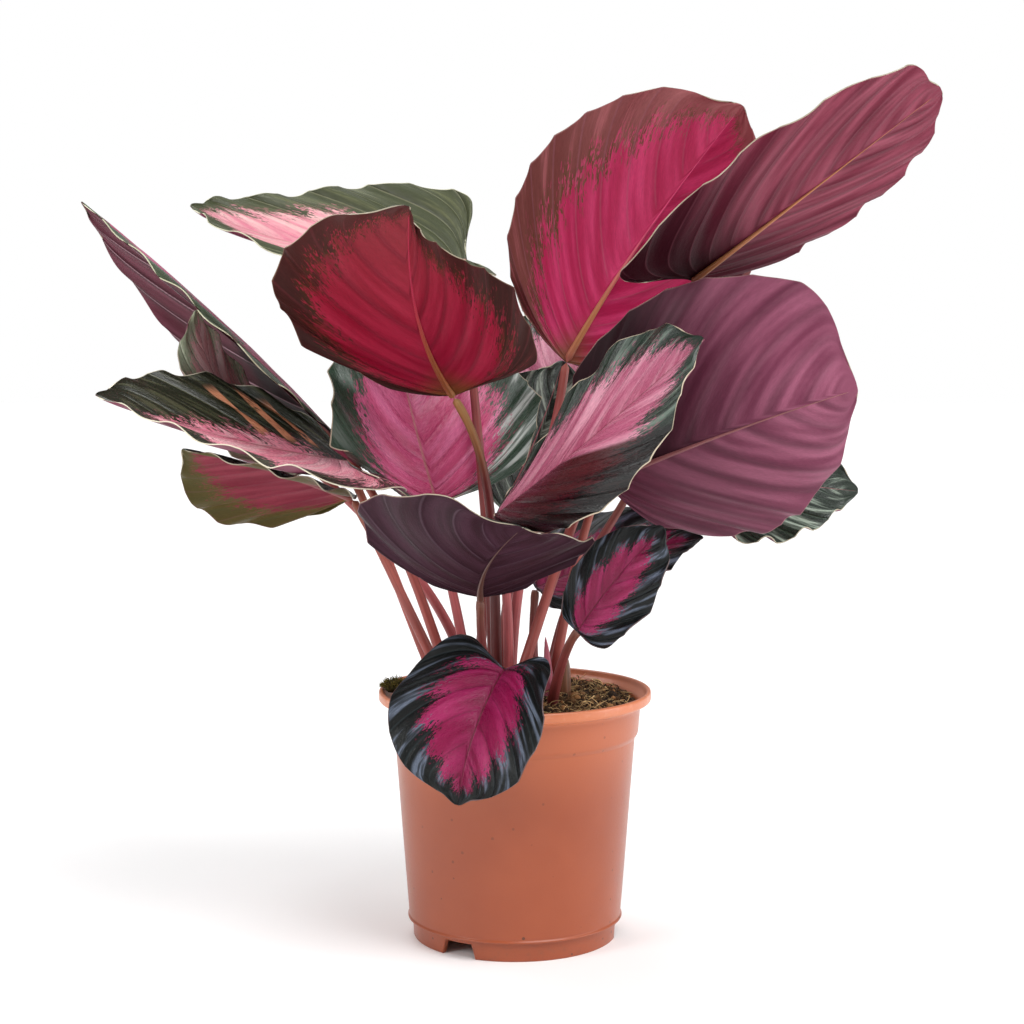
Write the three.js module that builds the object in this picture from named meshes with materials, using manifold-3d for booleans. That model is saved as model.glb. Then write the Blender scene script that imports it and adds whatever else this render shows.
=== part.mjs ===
// A foliage plant with broad patterned leaves, grown in a plastic nursery pot.
// Millimetres, +Z up, -Y is the front. The pieces are laid out round the pot's axis, and the whole is then
// shifted so that the origin is the middle of its footprint, on the surface it stands on.
// Each leaf is one blade and one stalk, and the stalks stand in plain holes in the soil.
import * as THREE from 'three';
import { mergeVertices } from 'three/addons/utils/BufferGeometryUtils.js';
import Module from 'manifold-3d';

const wasm = await Module();
wasm.setup();

// Driving dimensions of the pot
const POT_HEIGHT = 128;
const RIM_RADIUS = 70;
const RIM_BAND = 5.2;
const COLLAR_RADIUS = 64.4;
const COLLAR_BOTTOM = 105;
const COLLAR_TOP = 118;
const BODY_TOP_RADIUS = 61.8;
const BODY_BOTTOM_RADIUS = 54.8;
const FOOT_RADIUS = 52.5;
const FOOT_INNER_RADIUS = 50;
const FOOT_HEIGHT = 10.4;
const WALL = 1.8;
const FLOOR_BOTTOM = 8.4;
const FLOOR_TOP = 10.4;
const POT_SIDES = 40;
const DRAIN_HOLES = 8;
const DRAIN_RADIUS = 4;
const DRAIN_CIRCLE = 36;
const FOOT_NOTCHES = [-123, -3, 117];
const NOTCH_WIDTH = 17;
const NOTCH_TOP_WIDTH = 13;
const NOTCH_HEIGHT = 7.6;

// Soil, roots and the gaps that neighbours keep
const GAP = 0.35;
const SOIL_EDGE = 121.6;
const SOIL_CROWN = 126.4;
const SOIL_BUMP = 1.3;
const SOIL_RINGS = [0.3, 0.6, 0.85, 1];
const CROWN_TOP = 111.7;
const CROWN_BOTTOM = 99;
const CROWN_RADIUS = 43;
const ROOTS = 7;
const ROOT_RADIUS = 1.8;
const ROOT_REACH = 46;
const ROOT_TIP = 30;

// Leaves
const BLADE = 0.8;
const KEEL = 2.4;
const KEEL_START = 8;
const COLUMNS = [-1, -0.7, -0.38, -0.06, 0, 0.06, 0.38, 0.7, 1];
const LARGE_ROWS = 18;
const SMALL_ROWS = 12;
const SMALL_LEAF = 106;
const LOBE_END = 0.4;
const SLANT = 1.3;
const SWEEP = 1.4;
const STALK_FOOT = 112;
const STALK_LOW_RADIUS = 2.9;
const STALK_HIGH_RADIUS = 1.9;
const STALK_SIDES = 6;
const STALK_STEPS = 8;
const STALK_END_GAP = 0.95;
const HOLE_DEPTH = 1;

const MATERIALS = {
  pot: new THREE.MeshStandardMaterial({ color: 0xc9734a, roughness: 0.45, metalness: 0 }),
  soil: new THREE.MeshStandardMaterial({ color: 0x3a291d, roughness: 1, metalness: 0 }),
  root: new THREE.MeshStandardMaterial({ color: 0xb59a72, roughness: 0.9, metalness: 0 }),
  leaf: new THREE.MeshStandardMaterial({ color: 0x6e3350, roughness: 0.5, metalness: 0 }),
  stalk: new THREE.MeshStandardMaterial({ color: 0x8a3f42, roughness: 0.55, metalness: 0 }),
  sheath: new THREE.MeshStandardMaterial({ color: 0x9a6a48, roughness: 0.8, metalness: 0 }),
};

// One half of a blade. fold is the angle in degrees at which it rises from the midrib, and curl the angle that
// it gains by the margin, each as one value or as [at the base, at the tip]. full moves the widest place
// towards the base, lobe is how far its corner reaches back past the base, and slim scales its width. blunt
// below 1 makes its ends squarer, and nose is how far its other corner reaches past the tip.
const half = (fold, curl, full, lobe, slim = 1, blunt = 1, nose = 0) => ({
  fold: [fold].flat(),
  curl: [curl].flat(),
  full,
  lobe,
  slim,
  blunt,
  nose,
});

// base, mid and tip are points of the midrib, root is where the stalk leaves the soil, and rise and arrive are
// its first and last directions. gap is how far it stays short of a base that it meets at a steep angle.
// faces are the directions that the upper side looks in, at the base and the tip. waves and wave are the
// number and height of the margin's waves, and ends how pointed the base and the tip are.
const LEAVES = [
  {
    base: [-25, 25, 348], mid: [-95, 10, 352], tip: [-160, -5, 373], width: 112,
    root: [-11, 7], rise: [0, -2, 110], arrive: [0, 12, 60], gap: 1.3,
    faces: [[0, -0.36, 0.93], [0.1, -0.33, 0.93]],
    left: half(8, 4, 0.3, 19, 1, 0.85, 5), right: half([32, 2], 2, 0.3, 20, 0.96, 0.85, 5),
    waves: 6, wave: 2, ends: [0, 0.3],
  },
  {
    base: [-30, -25, 280], mid: [-46, -70, 319], tip: [-47, -130, 366], width: 134,
    root: [-9, -4], rise: [-2, 2, 90], arrive: [-22, -10, 34],
    faces: [[0.2, 0.65, 0.7], [0.1, 0.5, 0.85]],
    left: half([15, 30], [50, 80], 0.95, 24, 0.57, 0.75), right: half(2, 4, 0.12, -3, 1.03, 0.85),
    waves: 5, wave: 2.5, ends: [0.4, 0.3],
  },
  {
    base: [26, 0, 296], mid: [63, -5, 356], tip: [109, -30, 419], width: 134,
    root: [-3, 4], rise: [2, 2, 100], arrive: [8, -2, 60],
    faces: [[0.2, 0.95, 0.2], [0.2, 0.9, 0.4]],
    left: half(14, 16, 0.15, 2, 0.92), right: half(3, 2, 0.06, 2, 0.99, 1, 4),
    waves: 5, wave: 2, ends: [0.35, 0.3],
  },
  {
    base: [86, -28, 337], mid: [138, -55, 377], tip: [197, -70, 423], width: 134,
    root: [-5, -19], rise: [28, 14, 90], arrive: [34, -20, 50],
    faces: [[-0.3, 0.46, 0.8], [-0.3, 0.5, 0.8]],
    left: half(5, 4, -0.12, 2, 0.84, 0.8), right: half(-4, 0, 0.06, 24, 1.02, 0.82, 8),
    waves: 6, wave: 1.5, ends: [0, 0.1],
  },
  {
    base: [44, -22, 237], mid: [106, -52, 264], tip: [164, -46, 283], width: 148,
    root: [15, -5], rise: [10, 0, 50], arrive: [12, -10, 30], gap: 1.1,
    faces: [[0.1, 0.95, 0.1], [0.2, 0.95, 0.1]],
    left: half(22, 24, 0.05, 6, 0.95, 0.9, 6), right: half(3, 0, -0.03, 8, 1.01, 0.72, 8),
    waves: 6, wave: 1.5, ends: [0.2, 0.1],
  },
  {
    base: [67, 45, 237], mid: [124, 60, 231], tip: [182, 60, 225], width: 118,
    root: [16, 6], rise: [6, 4, 70], arrive: [22, 10, 40],
    faces: [[0, -0.45, 0.9], [0.2, -0.45, 0.85]],
    left: half(5, -10, 0.1, 6, 1, 0.8), right: half(5, -10, 0.1, 6, 1, 0.8),
    waves: 6, wave: 3, ends: [0.35, 0.3],
  },
  {
    base: [-9, -35, 222], mid: [35, -75, 261], tip: [85, -95, 307], width: 88,
    root: [-3, -9], rise: [0, -4, 50], arrive: [-4, -12, 36],
    faces: [[-0.3, -0.55, 0.75], [-0.3, -0.45, 0.8]],
    left: half(6, 15, -0.35, 0, 0.8, 0.8, 6), right: half(22, -75, 0, 0),
    waves: 5, wave: 3, ends: [0.7, 0.3],
  },
  {
    base: [-40, 8, 222], mid: [-54, 12, 273], tip: [-66, 40, 325], width: 134,
    root: [-23, 1], rise: [-2, 2, 50], arrive: [-4, 2, 34],
    faces: [[0.4, -0.85, 0.3], [0.4, -0.7, 0.6]],
    left: half([26, 12], 5, 0.5, -15, 0.82), right: half(6, 5, 0.25, 12),
    waves: 5, wave: 3, ends: [0.35, 0.3],
  },
  {
    base: [-7, 42, 217], mid: [11, 56, 253], tip: [25, 62, 292], width: 80,
    root: [-20, 8], rise: [0, 8, 50], arrive: [2, 6, 36],
    faces: [[0.35, -0.85, 0.3], [0.35, -0.85, 0.3]],
    left: half(14, 5, 0.1, 6), right: half(25, 5, -0.2, 2),
    waves: 5, wave: 3, ends: [0.35, 0.3],
  },
  {
    base: [-17, -32, 180], mid: [-13, -74, 201], tip: [2, -112, 222], width: 112,
    root: [-14, -13], rise: [0, -2, 24], arrive: [1, -6, 18],
    faces: [[0.1, 0.5, 0.85], [0.08, 0.5, 0.85]],
    left: half(10, 20, -0.2, 3, 0.92), right: half(5, 18, 0, 3, 1.2, 1, 8),
    waves: 5, wave: 2, ends: [0.35, 0.3],
  },
  {
    base: [30, -66, 168], mid: [47, -78, 194], tip: [68, -82, 218], width: 46,
    root: [16.5, -21], rise: [2, -6, 14], arrive: [8, -14, 10],
    faces: [[-0.1, -0.9, 0.4], [-0.1, -0.9, 0.3]],
    left: half(12, 5, 0, 2, 0.83, 0.8), right: half(8, 0, 0.05, 5, 0.98, 0.75),
    waves: 3, wave: 3, ends: [0.35, 0.3],
  },
  {
    base: [-5, -62, 149], mid: [-19, -82, 123], tip: [-27, -88, 91], width: 80,
    root: [-9, -27], rise: [2, -2, 20], arrive: [0, -14, 8],
    faces: [[0, -0.9, 0.45], [0, -0.97, 0.2]],
    left: half(42, -8, -0.08, 14, 0.98), right: half(0, -8, 0.05, 16, 1.08),
    waves: 4, wave: 1.5, ends: [0, 0.3],
  },
  {
    base: [-91, 25, 255], mid: [-158, 40, 320], tip: [-222, 30, 376], width: 122,
    root: [-28, 8], rise: [-20, 6, 60], arrive: [-34, 6, 46],
    faces: [[0.7, 0.1, 0.7], [0.7, 0.1, 0.7]],
    left: half(-3, 0, 0.1, 4), right: half(-16, -10, 0.1, 4, 1.12),
    waves: 6, wave: 1.2, ends: [0.35, 0.3],
  },
  {
    base: [-84, -20, 247], mid: [-139, -46, 260], tip: [-196, -72, 281], width: 122,
    root: [-31, -5], rise: [-24, 0, 52], arrive: [-20, -2, 42], gap: 1.3,
    faces: [[0.1, -0.25, 0.95], [0.1, -0.25, 0.95]],
    left: half([-3, 13], [15, 4], 0.15, 33, 0.96, 0.85), right: half([12, 10], 6, 0.1, 4, 0.95),
    waves: 6, wave: 2, ends: [0.35, 0.3],
  },
  {
    base: [-80, -28, 230], mid: [-119, -50, 245], tip: [-155, -72, 256], width: 98,
    root: [-25, -15], rise: [-24, -4, 48], arrive: [-20, -5, 38],
    faces: [[0.2, 0.05, 0.95], [0.2, 0.05, 0.95]],
    left: half(0, 0, 0, 2, 0.7), right: half(-30, -24, 0, 2, 1, 0.9),
    waves: 5, wave: 2, ends: [0.35, 0.3],
  },
  {
    base: [-105, 28, 241], mid: [-148, 28, 275], tip: [-165, 26, 319], width: 66,
    root: [-21, 18], rise: [-6, 8, 60], arrive: [-24, 2, 24],
    faces: [[0.5, -0.6, 0.5], [0.5, -0.6, 0.5]],
    left: half(12, 8, 0.1, 4), right: half(-25, 0, 0.1, 4),
    waves: 5, wave: 2, ends: [0.35, 0.3],
  },
  {
    base: [19, 70, 260], mid: [31, 84, 284], tip: [51, 100, 315], width: 92,
    root: [-4, 20], rise: [-8, 26, 70], arrive: [10, 10, 60],
    faces: [[0, -0.9, 0.4], [0, -0.8, 0.6]],
    left: half(10, 5, 0.1, 2), right: half(10, 5, 0.1, 2),
    waves: 5, wave: 3, ends: [0.35, 0.3],
  },
  {
    base: [11, 33, 176], mid: [52, 55, 188], tip: [100, 70, 198], width: 72,
    root: [10, 11], rise: [0, 8, 24], arrive: [2, 8, 18], gap: 1.9,
    faces: [[0, -0.6, 0.8], [0, -0.6, 0.8]],
    left: half(10, -10, 0.1, 2), right: half(5, -10, 0.45, 14, 0.75),
    waves: 5, wave: 2, ends: [0.35, 0.3],
  },
];

// Young shoots still rolled up, and a dry sheath: foot on the crown, a point halfway up, tip, widest radius.
const SHOOTS = [
  {
    name: 'shoot_pink', skin: 'stalk', radius: 3.2,
    path: [[17, -12, 112], [17.5, -12.5, 132], [15.5, -12, 156]],
  },
  {
    name: 'shoot_sheath', skin: 'sheath', radius: 3.6,
    path: [[25, -9, 112], [24.5, -11, 130], [26, -13, 147]],
  },
  {
    name: 'shoot_short', skin: 'sheath', radius: 3,
    path: [[-1, -29, 112], [-1, -30, 130], [-2, -31, 143]],
  },
];
const SHOOT_SIDES = 8;
const SHOOT_STEPS = 8;
const SHOOT_FOOT = 0.72;

const vec = (p) => new THREE.Vector3(...p);
const lerp = THREE.MathUtils.lerp;
const radians = THREE.MathUtils.degToRad;

function geometryFrom(points, faces) {
  const geometry = new THREE.BufferGeometry();
  geometry.setFromPoints(points);
  geometry.setIndex(faces.flat());
  return geometry;
}

function solidFrom(geometry) {
  const bare = geometry.clone();
  bare.deleteAttribute('normal');
  bare.deleteAttribute('uv');
  const merged = mergeVertices(bare, 1e-4);
  return new wasm.Manifold(
    new wasm.Mesh({
      numProp: 3,
      vertProperties: merged.getAttribute('position').array,
      triVerts: new Uint32Array(merged.index.array),
    }),
  );
}

function geometryOf(solid) {
  const mesh = solid.getMesh();
  const geometry = new THREE.BufferGeometry();
  geometry.setAttribute('position', new THREE.Float32BufferAttribute(mesh.vertProperties, 3));
  geometry.setIndex(Array.from(mesh.triVerts));
  return geometry;
}

// A closed body of rings of equal count, each joined to the next, with a fan over the first and the last.
function ringBody(rings) {
  const sides = rings[0].length;
  const points = rings.flat();
  const faces = [];
  for (let r = 0; r < rings.length - 1; r++) {
    for (let i = 0; i < sides; i++) {
      const j = (i + 1) % sides;
      const a = r * sides + i;
      const b = r * sides + j;
      faces.push([a, b, b + sides], [a, b + sides, a + sides]);
    }
  }
  const last = (rings.length - 1) * sides;
  for (let i = 1; i < sides - 1; i++) {
    faces.push([0, i + 1, i], [last, last + i, last + i + 1]);
  }
  return geometryFrom(points, faces);
}

// A tube whose radius follows radiusAt from 0 at the curve's start to 1 at its end. Where a foot height is
// given, the first ring is slid along the tube onto that level, so that the foot is flat.
function tube(curve, radiusAt, sides, steps, foot = null) {
  const ahead = vec([0, 1, 0]);
  const rings = [];
  for (let k = 0; k <= steps; k++) {
    const t = k / steps;
    const centre = curve.getPoint(t);
    const along = curve.getTangent(t);
    const across = new THREE.Vector3().crossVectors(ahead, along).normalize();
    const up = new THREE.Vector3().crossVectors(along, across);
    const ring = [];
    for (let i = 0; i < sides; i++) {
      const angle = (2 * Math.PI * i) / sides;
      const out = across.clone().multiplyScalar(Math.cos(angle)).addScaledVector(up, Math.sin(angle));
      const point = centre.clone().addScaledVector(out, radiusAt(t));
      if (k === 0 && foot !== null) {
        point.addScaledVector(along, (foot - point.z) / along.z);
      }
      ring.push(point);
    }
    rings.push(ring);
  }
  return ringBody(rings);
}

// The midrib is a quadratic curve through base, mid and tip, read by the length along it.
function midribOf(leaf) {
  const base = vec(leaf.base);
  const tip = vec(leaf.tip);
  const middle = base.clone().add(tip).multiplyScalar(0.5);
  const control = vec(leaf.mid).multiplyScalar(2).sub(middle);
  const curve = new THREE.QuadraticBezierCurve3(base, control, tip);
  return { curve, length: curve.getLength() };
}

// A point of the blade's middle sheet. a runs from 0 at the base to 1 at the tip, v from -1 at the left margin
// to 1 at the right one, seen from above. The outline is a sine arch, a cross line sweeps forward from the
// midrib to the margin, and the half rises from the midrib on a circular arc.
function bladePoint(leaf, midrib, a, v) {
  const side = v < 0 ? leaf.left : leaf.right;
  const sign = Math.sign(v);
  const reach = Math.abs(v);
  const pointed = lerp(leaf.ends[0], leaf.ends[1], a);
  const arch = (1 - Math.cos(Math.PI * a)) / 2;
  const back = a < LOBE_END ? side.lobe * Math.sin((Math.PI * a) / LOBE_END) ** 2 : 0;
  const ahead = a > 1 - LOBE_END ? side.nose * Math.sin((Math.PI * (1 - a)) / LOBE_END) ** 2 : 0;
  const margin = midrib.length * lerp(arch, a, pointed) - back + ahead;
  const fullness = 1 + side.full * Math.cos(Math.PI * a);
  const spread = (leaf.width / 2) * Math.sin(Math.PI * a) ** side.blunt * fullness * side.slim;
  const rib = (midrib.length * (1 - Math.cos(Math.PI * a ** SLANT))) / 2;
  const along = lerp(rib, margin, reach ** SWEEP);
  const held = THREE.MathUtils.clamp(along, 0, midrib.length);
  const t = held / midrib.length;
  const tangent = midrib.curve.getTangentAt(t);
  const point = midrib.curve.getPointAt(t).addScaledVector(tangent, along - held);
  const face = vec(leaf.faces[0]).normalize().lerp(vec(leaf.faces[1]).normalize(), t);
  const normal = face.addScaledVector(tangent, -face.dot(tangent)).normalize();
  const right = new THREE.Vector3().crossVectors(tangent, normal);
  const fold = radians(lerp(side.fold[0], side.fold.at(-1), t));
  const bend = radians(lerp(side.curl[0], side.curl.at(-1), t)) / (leaf.width / 2);
  const curl = Math.abs(bend) < 1e-6 ? 1e-6 : bend;
  const span = spread * reach;
  const turn = fold + curl * span;
  point.addScaledVector(right, (sign * (Math.sin(turn) - Math.sin(fold))) / curl);
  point.addScaledVector(normal, (Math.cos(fold) - Math.cos(turn)) / curl);
  const out = normal.clone().multiplyScalar(Math.cos(turn)).addScaledVector(right, -sign * Math.sin(turn));
  const swing = Math.sin(2 * Math.PI * leaf.waves * a + sign);
  const crest = leaf.wave * reach ** 2 * swing * Math.sqrt(Math.max(Math.sin(Math.PI * a), 0));
  return { point: point.addScaledVector(out, crest), out, normal, along: held };
}

// The upper side's true direction, from the sheet's slopes on the grid's own side of the point.
function bladeNormal(leaf, midrib, a, v) {
  const here = bladePoint(leaf, midrib, a, v);
  if (v === 0) {
    return here.normal;
  }
  const step = 1e-3;
  const place = THREE.MathUtils.clamp(a, 2 * step, 1 - 2 * step);
  const at = (u, w) => bladePoint(leaf, midrib, u, w).point;
  const lengthwise = at(place + step, v).sub(at(place - step, v));
  const crosswise = at(place, v).sub(at(place, v * (1 - step)));
  const normal = lengthwise.cross(crosswise).normalize();
  return normal.dot(here.out) < 0 ? normal.negate() : normal;
}

// A blade: the same grid of triangles on its upper and lower side, with a keel under the midrib.
function blade(leaf) {
  const midrib = midribOf(leaf);
  const rows = midrib.length > SMALL_LEAF ? LARGE_ROWS : SMALL_ROWS;
  const top = [];
  const bottom = [];
  for (let i = 0; i <= rows; i++) {
    const pole = i === 0 || i === rows;
    for (const v of pole ? [0] : COLUMNS) {
      const a = i / rows;
      const { point, along } = bladePoint(leaf, midrib, a, v);
      const out = bladeNormal(leaf, midrib, a, v).multiplyScalar(BLADE / 2);
      const taper = THREE.MathUtils.smoothstep(along, 0, KEEL_START) * (1 - along / midrib.length);
      const keel = v === 0 ? KEEL * taper : 0;
      top.push(point.clone().add(out));
      bottom.push(point.clone().addScaledVector(out, -1 - (2 * keel) / BLADE));
    }
  }
  const wide = COLUMNS.length;
  const index = (i, j) => (i === 0 ? 0 : i === rows ? top.length - 1 : 1 + (i - 1) * wide + j);
  const under = top.length;
  const faces = [];
  const both = (a, b, c) => {
    if (a !== b && b !== c && c !== a) {
      faces.push([a, b, c], [under + a, under + c, under + b]);
    }
  };
  for (let i = 0; i < rows; i++) {
    for (let j = 0; j < wide - 1; j++) {
      both(index(i, j), index(i, j + 1), index(i + 1, j + 1));
      both(index(i, j), index(i + 1, j + 1), index(i + 1, j));
    }
    for (const j of [0, wide - 1]) {
      const a = index(i, j);
      const b = index(i + 1, j);
      const quad = j === 0 ? [a, b, under + b, under + a] : [b, a, under + a, under + b];
      faces.push([quad[0], quad[1], quad[2]], [quad[0], quad[2], quad[3]]);
    }
  }
  return geometryFrom([...top, ...bottom], faces);
}

// A stalk's route: up out of the soil, then over to the blade, stopping just short of its base.
function stalkCurve(leaf) {
  const foot = vec([...leaf.root, STALK_FOOT]);
  const arrive = vec(leaf.arrive);
  const end = vec(leaf.base).addScaledVector(arrive.clone().normalize(), -(leaf.gap ?? STALK_END_GAP));
  return new THREE.CubicBezierCurve3(foot, foot.clone().add(vec(leaf.rise)), end.clone().sub(arrive), end);
}

const stalk = (leaf, clearance = 0) =>
  tube(
    stalkCurve(leaf),
    (t) => lerp(STALK_LOW_RADIUS, STALK_HIGH_RADIUS, t) + clearance,
    STALK_SIDES,
    STALK_STEPS,
    clearance ? STALK_FOOT - HOLE_DEPTH : STALK_FOOT,
  );

// A shoot swells a little above its foot and closes to a blunt tip.
function shoot(plan, clearance = 0) {
  const curve = new THREE.QuadraticBezierCurve3(...plan.path.map(vec));
  const radiusAt = (t) => plan.radius * lerp(SHOOT_FOOT, 1, Math.sin(Math.PI * Math.min(t * 1.4, 0.5))) *
    Math.max(1 - t ** 3, 0.16) + clearance;
  return tube(curve, radiusAt, SHOOT_SIDES, SHOOT_STEPS, clearance ? STALK_FOOT - HOLE_DEPTH : STALK_FOOT);
}

// A body of revolution from a closed profile of [radius, height] points.
function turned(profile, sides) {
  const points = profile.map(([r, z]) => new THREE.Vector2(r, z));
  return new THREE.LatheGeometry(points, sides).rotateX(Math.PI / 2);
}

// The pot's outside from the foot up to the rim, and its inside back down to the floor.
function potProfile() {
  const outside = [
    [FOOT_INNER_RADIUS, 0],
    [FOOT_RADIUS, 0],
    [FOOT_RADIUS + 0.5, FOOT_HEIGHT - 1],
    [BODY_BOTTOM_RADIUS + 0.7, FOOT_HEIGHT - 0.4],
    [BODY_BOTTOM_RADIUS + 0.7, FOOT_HEIGHT + 0.3],
    [BODY_BOTTOM_RADIUS, FOOT_HEIGHT + 1],
    [BODY_TOP_RADIUS, COLLAR_BOTTOM - 1],
    [COLLAR_RADIUS - 0.9, COLLAR_BOTTOM + 1.4],
    [COLLAR_RADIUS, COLLAR_TOP],
    [COLLAR_RADIUS + 0.6, POT_HEIGHT - RIM_BAND - 1.4],
    [RIM_RADIUS - 0.8, POT_HEIGHT - RIM_BAND - 0.2],
    [RIM_RADIUS, POT_HEIGHT - RIM_BAND + 0.8],
    [RIM_RADIUS, POT_HEIGHT - 0.8],
    [RIM_RADIUS - 0.8, POT_HEIGHT],
  ];
  const inside = [
    [RIM_RADIUS - 2, POT_HEIGHT],
    [RIM_RADIUS - 3.2, POT_HEIGHT - 2.4],
    [COLLAR_RADIUS - 1, POT_HEIGHT - 5.4],
    [COLLAR_RADIUS - WALL, COLLAR_TOP],
    [BODY_TOP_RADIUS - WALL, COLLAR_BOTTOM - 2],
    [BODY_BOTTOM_RADIUS - WALL, FLOOR_TOP],
    [0, FLOOR_TOP],
    [0, FLOOR_BOTTOM],
    [FOOT_INNER_RADIUS, FLOOR_BOTTOM],
    [FOOT_INNER_RADIUS, 0],
  ];
  return [...outside, ...inside];
}

function pot() {
  let solid = solidFrom(turned(potProfile(), POT_SIDES));
  for (let i = 0; i < DRAIN_HOLES; i++) {
    const angle = (2 * Math.PI * (i + 0.5)) / DRAIN_HOLES;
    const hole = new THREE.CylinderGeometry(DRAIN_RADIUS, DRAIN_RADIUS, 6, 12)
      .rotateX(Math.PI / 2)
      .translate(DRAIN_CIRCLE * Math.cos(angle), DRAIN_CIRCLE * Math.sin(angle), FLOOR_TOP);
    solid = solid.subtract(solidFrom(hole));
  }
  const outline = new THREE.Shape([
    new THREE.Vector2(-NOTCH_WIDTH / 2, -2),
    new THREE.Vector2(NOTCH_WIDTH / 2, -2),
    new THREE.Vector2(NOTCH_TOP_WIDTH / 2, NOTCH_HEIGHT),
    new THREE.Vector2(-NOTCH_TOP_WIDTH / 2, NOTCH_HEIGHT),
  ]);
  for (const angle of FOOT_NOTCHES) {
    const notch = new THREE.ExtrudeGeometry(outline, { depth: 8, bevelEnabled: false })
      .rotateX(Math.PI / 2)
      .translate(0, -FOOT_INNER_RADIUS + 4, 0)
      .rotateZ(radians(angle + 90));
    solid = solid.subtract(solidFrom(notch));
  }
  return geometryOf(solid);
}

// The crown is a low knobbly cushion that carries every stalk, with roots that bow outwards and down from it.
function rootstock(clearance = 0) {
  const radius = CROWN_RADIUS + clearance;
  const profile = [
    [0, CROWN_BOTTOM - clearance],
    [radius * 0.7, CROWN_BOTTOM - clearance],
    [radius, (CROWN_BOTTOM + CROWN_TOP) / 2],
    [radius * 0.94, CROWN_TOP + clearance],
    [0, CROWN_TOP + clearance],
  ];
  let solid = solidFrom(turned(profile, 18));
  for (let i = 0; i < ROOTS; i++) {
    const angle = (2 * Math.PI * (i + 0.3)) / ROOTS;
    const at = (r, z) => new THREE.Vector3(r * Math.cos(angle), r * Math.sin(angle), z);
    const reach = ROOT_REACH * (i % 2 ? 0.62 : 1);
    const curve = new THREE.QuadraticBezierCurve3(
      at(CROWN_RADIUS * 0.5, CROWN_BOTTOM + 3),
      at(reach, lerp(ROOT_TIP, CROWN_BOTTOM, 0.7)),
      at(reach * 0.9, ROOT_TIP - clearance),
    );
    solid = solid.add(solidFrom(tube(curve, (t) => lerp(ROOT_RADIUS, 0.8, t) + clearance, 5, 4)));
  }
  return solid;
}

// The soil fills the pot to a low uneven mound, hollow only where the roots and the stalks are.
function soil() {
  const wall = (z) => {
    const t = (z - FLOOR_TOP) / (COLLAR_BOTTOM - 2 - FLOOR_TOP);
    return lerp(BODY_BOTTOM_RADIUS, BODY_TOP_RADIUS, t) - WALL - 2 * GAP;
  };
  const sides = POT_SIDES;
  const ring = (radius, height) =>
    Array.from({ length: sides }, (_, i) => {
      const angle = (2 * Math.PI * i) / sides;
      return new THREE.Vector3(radius * Math.cos(angle), radius * Math.sin(angle), height(angle));
    });
  const edge = COLLAR_RADIUS - WALL - 2 * GAP;
  const bump = (s, angle) => SOIL_BUMP * Math.sin(3 * angle + 5 * s) * Math.sin(7 * s + angle) * (1 - s ** 4);
  const surface = (s) => (angle) => lerp(SOIL_CROWN, SOIL_EDGE, s * s) + bump(s, angle);
  const rings = [
    ring(wall(FLOOR_TOP), () => FLOOR_TOP + GAP),
    ring(wall(COLLAR_BOTTOM - 3), () => COLLAR_BOTTOM - 3),
    ring(edge, () => COLLAR_TOP),
    ...[...SOIL_RINGS].reverse().map((s) => ring(edge * s, surface(s))),
  ];
  let solid = solidFrom(ringBody(rings)).subtract(rootstock(GAP));
  for (const leaf of LEAVES) {
    solid = solid.subtract(solidFrom(stalk(leaf, GAP)));
  }
  for (const plan of SHOOTS) {
    solid = solid.subtract(solidFrom(shoot(plan, GAP)));
  }
  return geometryOf(solid);
}

const plant = new THREE.Group();
const add = (name, geometry, material) => {
  const mesh = new THREE.Mesh(geometry, material);
  mesh.name = name;
  plant.add(mesh);
};

add('pot', pot(), MATERIALS.pot);
add('soil', soil(), MATERIALS.soil);
add('rootstock', geometryOf(rootstock()), MATERIALS.root);
LEAVES.forEach((leaf, i) => {
  const number = String(i + 1).padStart(2, '0');
  add(`blade_${number}`, blade(leaf), MATERIALS.leaf);
  add(`stalk_${number}`, stalk(leaf), MATERIALS.stalk);
});
for (const plan of SHOOTS) {
  add(plan.name, shoot(plan), MATERIALS[plan.skin]);
}

const extent = new THREE.Box3().setFromObject(plant);
plant.position.set(-(extent.min.x + extent.max.x) / 2, -(extent.min.y + extent.max.y) / 2, 0);

export default plant;
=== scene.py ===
"""A foliage plant with broad patterned leaves in a plastic nursery pot.

Each piece is a surface of two parameters, worked out with numpy as whole arrays. Shapes are in millimetres
round the pot's axis, as in the solid model, and piece() shifts them onto the frame and turns them to metres.
"""

import math

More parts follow.
